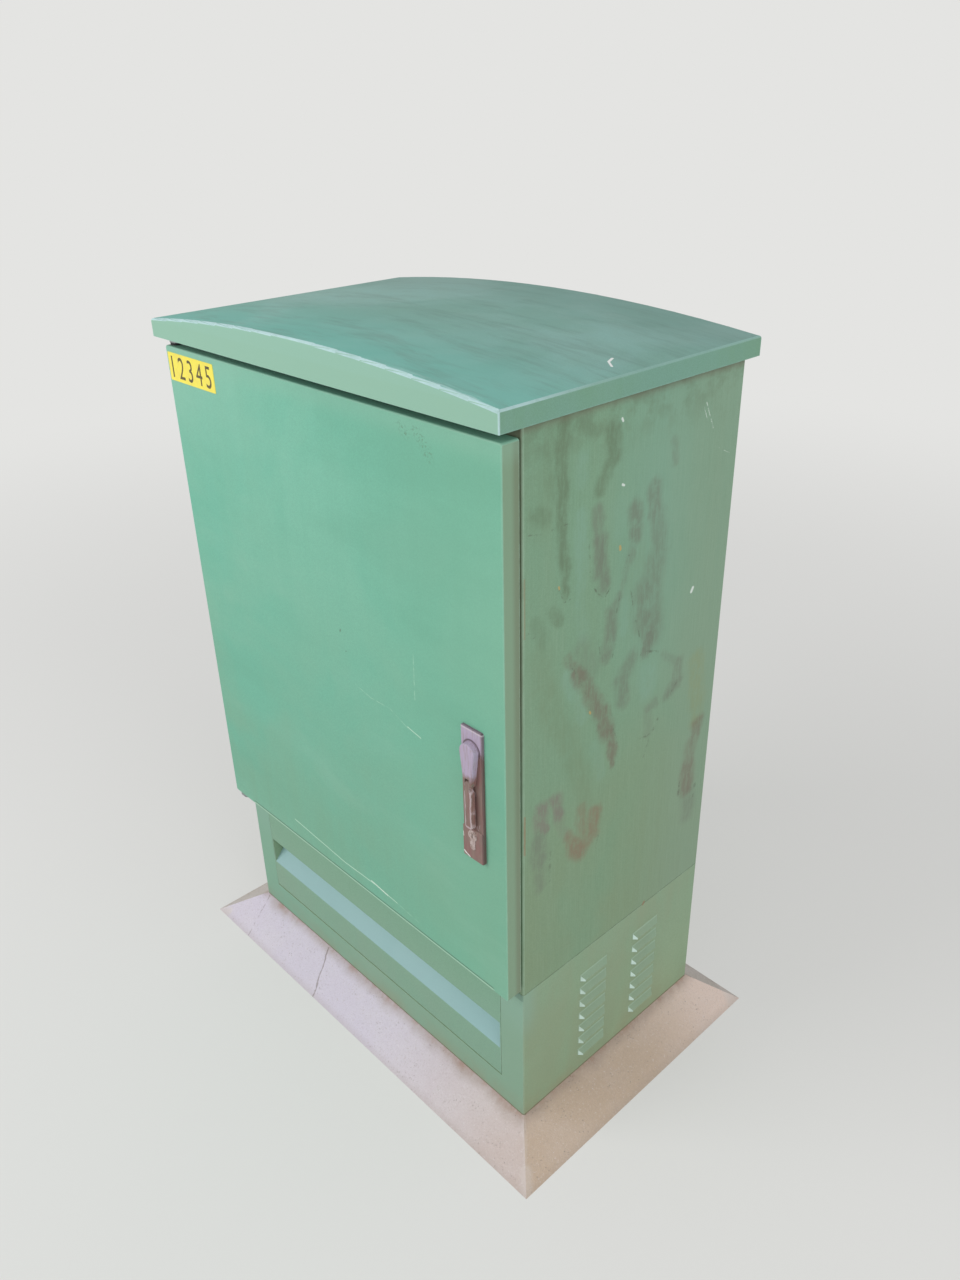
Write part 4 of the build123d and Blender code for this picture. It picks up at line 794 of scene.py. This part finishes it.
def zincLook(threadPitch=None):
    look, tree, place = openLook("zincThread" if threadPitch else "zincPlated", zincWashes)
    patches = cloud(tree, place, (120.0, 4.0, 0.6), 0.4, 0.65)
    blend(look, patches, zincTones["base"], zincTones["patch"])
    stain(look, "spots", cloud(tree, place, (260.0, 5.0, 0.7), 0.62, 0.7))
    stain(look, "edge", effect(look, edgeWearAndSheen, Radius=0.0008, Keep=0.9))
    rough = step(tree, patches, 0.0, 1.0, 0.3, 0.5)
    if threadPitch:
        wave = {"Vector": place, "Scale": waveLength / threadPitch}
        turns = add(tree, "TexWave", wave, bands_direction="Z")
        return closeLook(look, rough, turns.outputs["Fac"], (0.5, 0.0008), metallic=0.85)
    fine = effect(look, grain, Scale=1500.0)
    return closeLook(look, rough, fine, (0.1, 0.0003), metallic=0.85)


plateLow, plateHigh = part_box("handle_plate")
leverLow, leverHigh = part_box("handle_lever")
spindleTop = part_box("handle_spindle")[1].z

handleTones = {"bleached": (180, 166, 190), "brown": (128, 106, 98), "reddish": (136, 98, 94)}
handleLevels = {"plate": (0.748, 0.758), "lever": (0.712, 0.722)}  # where the bleached top starts
handleWashes = {
    "grain": (0.45, (152, 134, 124)), "ring": (0.75, (78, 60, 62)), "rightEdge": (0.55, (78, 60, 62)),
    "topLine": (0.5, (214, 206, 206)), "topEdge": (0.7, (78, 60, 62)), "chips": (0.95, (226, 224, 220)),
    "rubs": (0.6, (198, 182, 186)), "gripSides": (0.8, (198, 182, 186)), "gripEnd": (0.7, (198, 182, 186)),
    "plateWear": (0.3, (214, 206, 206)), "gripWear": (0.5, (214, 206, 206)),
}
plateMarks = {
    "chips": [(1.6, 1.0, (2, 7), (6, 4.5)), (1.3, 1.0, (8, 4), (13, 2)), (1.0, 1.0, (1, 40), (1.5, 33))],
    "rubs": [
        (0.7, 1.0, (28, 62), (30, 55)), (0.6, 1.0, (33, 66), (32.5, 60)), (0.8, 1.0, (26, 118), (27, 112)),
        (0.6, 1.0, (12, 58), (13, 51)),
    ],
}


def onPlate(across, up):  # millimetres from the handle plate's lower left corner
    return (plateLow.x + across / 1000, 0.0, plateLow.z + up / 1000)


def openHandle(name, levels):
    tones = handleTones
    look, tree, place = openLook(name, handleWashes)
    parts = split(tree, place)
    shake = product(tree, maths(tree, "SUBTRACT", noise(tree, place, 70.0, 4.0, 0.6), 0.5), 0.03)
    level = step(tree, maths(tree, "ADD", parts["Z"], shake), *levels)
    cloudy = cloud(tree, scaled(tree, place, (1, 1, 0.3)), (60.0, 4.0, 0.6), 0.4, 0.62)
    brown = mix(tree, cloudy, tint(*tones["brown"]), tint(*tones["reddish"]))
    look["colour"] = mix(tree, level, brown, tint(*tones["bleached"]))
    grainy = cloud(tree, scaled(tree, place, (1, 1, 0.06)), (520.0, 4.0, 0.65), 0.46, 0.62)
    stain(look, "grain", grainy)
    look.update(parts=parts, grainy=grainy)
    return look


def closeHandle(look, wash):
    stain(look, wash, effect(look, edgeWearAndSheen, Radius=0.0014, Break=160.0, Keep=0.95))
    fine = effect(look, grain, Scale=900.0)
    rough = step(look["tree"], look["grainy"], 0.0, 1.0, 0.55, 0.75)
    return closeLook(look, rough, fine, (0.25, 0.0005))


def plateLook():  # darker along its right and top edges, chipped at its lower left corner
    look = openHandle("handleCoating", handleLevels["plate"])
    tree, parts = look["tree"], look["parts"]
    flat = scaled(tree, look["place"], (1, 0, 1))
    centre = ((plateLow.x + plateHigh.x) / 2, 0.0, spindleTop - 0.014)
    away = vectorMaths(tree, "DISTANCE", flat, centre).outputs["Value"]
    upper = step(tree, parts["Z"], centre[2] - 0.01, centre[2])
    stain(look, "ring", band(tree, away, 0.0145, 0.0172, 0.0006), upper)
    stain(look, "rightEdge", step(tree, parts["X"], plateHigh.x - 0.0028, plateHigh.x - 0.0016))
    stain(look, "topLine", band(tree, parts["Z"], plateHigh.z - 0.0042, plateHigh.z - 0.0022, 0.0004))
    stain(look, "topEdge", step(tree, parts["Z"], plateHigh.z - 0.0018, plateHigh.z - 0.001))
    shaken = wobbled(tree, flat, 300.0, 0.002)
    stain(look, "chips", strokes(look, shaken, onPlate, plateMarks["chips"], 0.4))
    stain(look, "rubs", strokes(look, shaken, onPlate, plateMarks["rubs"], 0.6))
    return closeHandle(look, "plateWear")


def gripLook():  # the lever's long edges and its end are rubbed pale
    look = openHandle("gripCoating", handleLevels["lever"])
    tree, parts = look["tree"], look["parts"]
    wave = maths(tree, "SUBTRACT", noise(tree, look["place"], 90.0, 3.0, 0.5), 0.5)
    fromMiddle = maths(tree, "SUBTRACT", parts["X"], (leverLow.x + leverHigh.x) / 2)
    aside = maths(tree, "ABSOLUTE", maths(tree, "ADD", fromMiddle, product(tree, wave, 0.004)))
    lower = step(tree, parts["Z"], 0.704, 0.698)
    stain(look, "gripSides", band(tree, aside, 0.0044, 0.0064, 0.0006), lower)
    end = maths(tree, "ADD", parts["Z"], product(tree, wave, 0.006))
    stain(look, "gripEnd", band(tree, end, leverLow.z + 0.002, leverLow.z + 0.005, 0.001))
    return closeHandle(look, "gripWear")


brassTones = {"dull": (150, 128, 118), "bright": (214, 198, 196)}
brassWashes = {"grime": (0.5, (112, 88, 78)), "edge": (0.6, (228, 216, 208))}


def brassLook():
    look, tree, place = openLook("wornBrass", brassWashes)
    brushed = cloud(tree, scaled(tree, place, (3, 3, 0.4)), (380.0, 5.0, 0.75), 0.42, 0.6)
    blend(look, brushed, brassTones["dull"], brassTones["bright"])
    stain(look, "grime", cloud(tree, place, (150.0, 4.0, 0.6), 0.5, 0.66))
    stain(look, "edge", effect(look, edgeWearAndSheen, Radius=0.0008, Keep=0.9))
    return closeLook(look, step(tree, brushed, 0.0, 1.0, 0.62, 0.42), brushed, (0.3, 0.0003), metallic=0.25)


plasticTones = {
    "blackRubber": {
        "base": (38, 38, 38), "patch": (58, 57, 54), "dust": (120, 114, 102), "rough": (0.75, 0.9),
        "scale": 600.0,
    },
    "blackPlastic": {
        "base": (34, 34, 36), "patch": (46, 46, 48), "dust": (104, 100, 92), "rough": (0.4, 0.55),
        "scale": 900.0,
    },
    "creamPlastic": {
        "base": (216, 208, 184), "patch": (204, 192, 160), "dust": (160, 148, 122), "rough": (0.42, 0.56),
        "scale": 800.0,
    },
    "brownResin": {
        "base": (108, 44, 30), "patch": (128, 58, 40), "dust": (150, 128, 108), "rough": (0.25, 0.4),
        "scale": 700.0,
    },
}


def plasticLook(name):
    tones = plasticTones[name]
    look, tree, place = openLook(name, {"dust": (0.6, tones["dust"]), "edge": (0.3, tones["dust"])})
    cloudy = cloud(tree, place, (24.0, 5.0, 0.6), 0.4, 0.66)
    blend(look, cloudy, tones["base"], tones["patch"])
    stain(look, "dust", effect(look, dust, Scale=60.0))
    stain(look, "edge", effect(look, edgeWearAndSheen, Radius=0.001, Keep=0.6))
    fine = effect(look, grain, Scale=tones["scale"])
    return closeLook(look, step(tree, cloudy, 0.0, 1.0, *tones["rough"]), fine, (0.2, 0.0004))


slotLooks = {
    "grey_green_paint": sidePaint(),
    "concrete": concreteLook(),
    "galvanised_sheet": galvanisedLook(),
    "zinc_plated_steel": zincLook(),
    "faded_handle_coating": plateLook(),
    "worn_brass": brassLook(),
    "black_rubber": plasticLook("blackRubber"),
    "black_plastic": plasticLook("blackPlastic"),
    "cream_plastic": plasticLook("creamPlastic"),
    "brown_resin": plasticLook("brownResin"),
}
grip = gripLook()
thread = zincLook(threadPitch=0.00175)
nodeLooks = {
    "door": doorPaint(), "roof_lid": roofPaint(), "plinth_frame": plinthPaint(),
    "plinth_cover": coverPaint(), "back_panel": galvanisedLook(painted=True),
    "handle_spindle": grip, "handle_lever": grip, "anchor_studs": thread, "body_bolts": thread,
}
for part in frame["record"]["subparts"]:
    name = part["node"]
    look = nodeLooks.get(name, slotLooks[part["material_slot"]])
    mesh = nodes[name].data
    mesh.materials.clear()
    mesh.materials.append(look)


# Number label on the door

label = {
    "left": 0.005, "top": 0.009, "width": 0.134, "height": 0.044, "thickness": 0.0005, "corner": 0.002,
    "text": "12345", "spacing": 1.35, "textHeight": 0.034, "textWidth": 0.116, "ink": 0.00008,
}
labelTones = {
    "yellow": (252, 236, 84), "faded": (244, 226, 96), "ink": (84, 74, 44), "wornInk": (112, 100, 50),
}
labelWashes = {"smut": (0.4, (188, 170, 70)), "edge": (0.5, (196, 184, 110))}


def labelLook():
    look, tree, place = openLook("labelYellow", labelWashes)
    cloudy = cloud(tree, place, (50.0, 5.0, 0.6), 0.4, 0.68)
    blend(look, cloudy, labelTones["yellow"], labelTones["faded"])
    stain(look, "smut", cloud(tree, place, (220.0, 5.0, 0.7), 0.6, 0.72))
    stain(look, "edge", effect(look, edgeWearAndSheen, Radius=0.001, Keep=0.8))
    fine = effect(look, grain, Scale=900.0)
    return closeLook(look, step(tree, cloudy, 0.0, 1.0, 0.4, 0.55), fine, (0.1, 0.0003))


def inkLook():
    look, tree, place = openLook("labelInk")
    worn = cloud(tree, place, (420.0, 4.0, 0.7), 0.45, 0.66)
    blend(look, worn, labelTones["ink"], labelTones["wornInk"])
    return closeLook(look, step(tree, worn, 0.0, 1.0, 0.5, 0.65), worn, (0.1, 0.0001))


def newPiece(name, mesh, look, body):
    piece = bpy.data.objects.new(name, mesh)
    scene.collection.objects.link(piece)
    mesh.materials.clear()
    mesh.materials.append(look)
    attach(piece, body)
    return piece


def makeLabel():
    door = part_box("door")
    left = door[0].x + label["left"]
    top = door[1].z - label["top"]
    front = door[0].y - label["thickness"] / 2
    centre = Vector((left + label["width"] / 2, front, top - label["height"] / 2))
    shape = bmesh.new()
    bmesh.ops.create_cube(shape, size=1.0)
    bmesh.ops.scale(shape, vec=(label["width"], label["thickness"], label["height"]), verts=shape.verts)
    upright = [e for e in shape.edges if abs(e.verts[0].co.y - e.verts[1].co.y) > label["thickness"] / 2]
    bmesh.ops.bevel(
        shape, geom=upright, offset=label["corner"], affect="EDGES", segments=4, profile=0.5, material=-1
    )
    bmesh.ops.translate(shape, vec=centre, verts=shape.verts)
    mesh = bpy.data.meshes.new("numberLabel")
    shape.to_mesh(mesh)
    shape.free()
    plate = newPiece("numberLabel", mesh, labelLook(), "door")

    words = bpy.data.curves.new("numberText", "FONT")
    words.body = label["text"]
    words.extrude = label["ink"]
    words.space_character = label["spacing"]
    holder = bpy.data.objects.new("numberText", words)
    scene.collection.objects.link(holder)
    digits = bpy.data.meshes.new_from_object(holder.evaluated_get(bpy.context.evaluated_depsgraph_get()))
    bpy.data.objects.remove(holder)
    low = Vector(min(v.co[i] for v in digits.vertices) for i in range(3))
    high = Vector(max(v.co[i] for v in digits.vertices) for i in range(3))
    size = high - low
    digits.transform(Matrix.Translation(-(low + high) / 2))
    digits.transform(Matrix.Diagonal((label["textWidth"] / size.x, label["textHeight"] / size.y, 1, 1)))
    digits.transform(Matrix.Rotation(radians(90), 4, "X"))
    digits.transform(Matrix.Translation(centre - Vector((0, label["thickness"] / 2, 0))))
    ink = newPiece("numberDigits", digits, inkLook(), "door")


makeLabel()
print("label made")


# Camera, floor and light

cameraSet = {
    "place": (1.1636, -1.0139, 1.5319), "turn": (61.8735, 1.2137, 46.5550), "lens": 29.14, "sensor": 36.0,
    "clip": (0.02, 200.0),
}
lampSet = {
    "key": {"place": (-1.6, -3.4, 2.9), "size": 2.6, "power": 88.0},
    "fill": {"place": (3.6, -0.6, 2.3), "size": 2.6, "power": 48.0},
}
lampAim = (0, 0, 0.6)
ambient = 0.5
floorTone = (228, 228, 226)
floorSet = {"radius": 60.0, "darker": 3, "near": 0.45, "start": 0.8, "end": 4.5}


def makeCamera():
    data = bpy.data.cameras.new("view")
    data.lens = cameraSet["lens"]
    data.sensor_width = cameraSet["sensor"]
    data.clip_start, data.clip_end = cameraSet["clip"]
    camera = bpy.data.objects.new("view", data)
    scene.collection.objects.link(camera)
    camera.location = cameraSet["place"]
    camera.rotation_euler = [radians(a) for a in cameraSet["turn"]]
    scene.camera = camera


def makeLamps():
    for name, lamp in lampSet.items():
        data = bpy.data.lights.new(name, "AREA")
        data.size = lamp["size"]
        data.energy = lamp["power"]
        holder = bpy.data.objects.new(name, data)
        scene.collection.objects.link(holder)
        holder.location = lamp["place"]
        aim = Vector(lampAim) - holder.location
        holder.rotation_euler = aim.to_track_quat("-Z", "Y").to_euler()


def seenRays(tree):
    path = add(tree, "LightPath").outputs
    seen = maths(tree, "MAXIMUM", path["Is Camera Ray"], path["Is Glossy Ray"])
    return maths(tree, "MAXIMUM", seen, path["Is Transmission Ray"])


def makeWorld():
    world = bpy.data.worlds.new("studio")
    world.use_nodes = True
    scene.world = world
    tree = world.node_tree
    tree.nodes.clear()
    light = add(tree, "Background", {"Color": (1, 1, 1, 1), "Strength": ambient})
    backdrop = add(tree, "Background", {"Color": tint(*floorTone), "Strength": 1.0})
    both = add(tree, "MixShader", {0: seenRays(tree), 1: light.outputs[0], 2: backdrop.outputs[0]})
    feed(tree, add(tree, "OutputWorld").inputs["Surface"], both.outputs[0])


def makeFloor():  # lit near the object, so that its shadow shows, and one with the backdrop farther out
    shape = bmesh.new()
    bmesh.ops.create_circle(shape, cap_ends=True, segments=96, radius=floorSet["radius"])
    mesh = bpy.data.meshes.new("floor")
    shape.to_mesh(mesh)
    shape.free()
    look, tree, place = openLook("floorPale")
    cloudy = cloud(tree, place, (0.6,), 0.2, 0.8)
    colour = mix(tree, cloudy, tint(*floorTone), tint(*[c - floorSet["darker"] for c in floorTone]))
    lit = add(tree, "BsdfDiffuse", {"Color": colour})
    glow = add(tree, "Emission", {"Color": tint(*floorTone), "Strength": 1.0})
    away = vectorMaths(tree, "LENGTH", place).outputs["Value"]
    far = step(tree, away, floorSet["start"], floorSet["end"], floorSet["near"], 1.0)
    share = product(tree, seenRays(tree), far)
    both = add(tree, "MixShader", {0: share, 1: lit.outputs[0], 2: glow.outputs[0]})
    feed(tree, add(tree, "OutputMaterial").inputs["Surface"], both.outputs[0])
    mesh.materials.append(look["material"])
    floor = bpy.data.objects.new("floor", mesh)
    scene.collection.objects.link(floor)


makeCamera()
makeLamps()
makeWorld()
makeFloor()
scene.view_settings.view_transform = "Standard"
print("stage set")
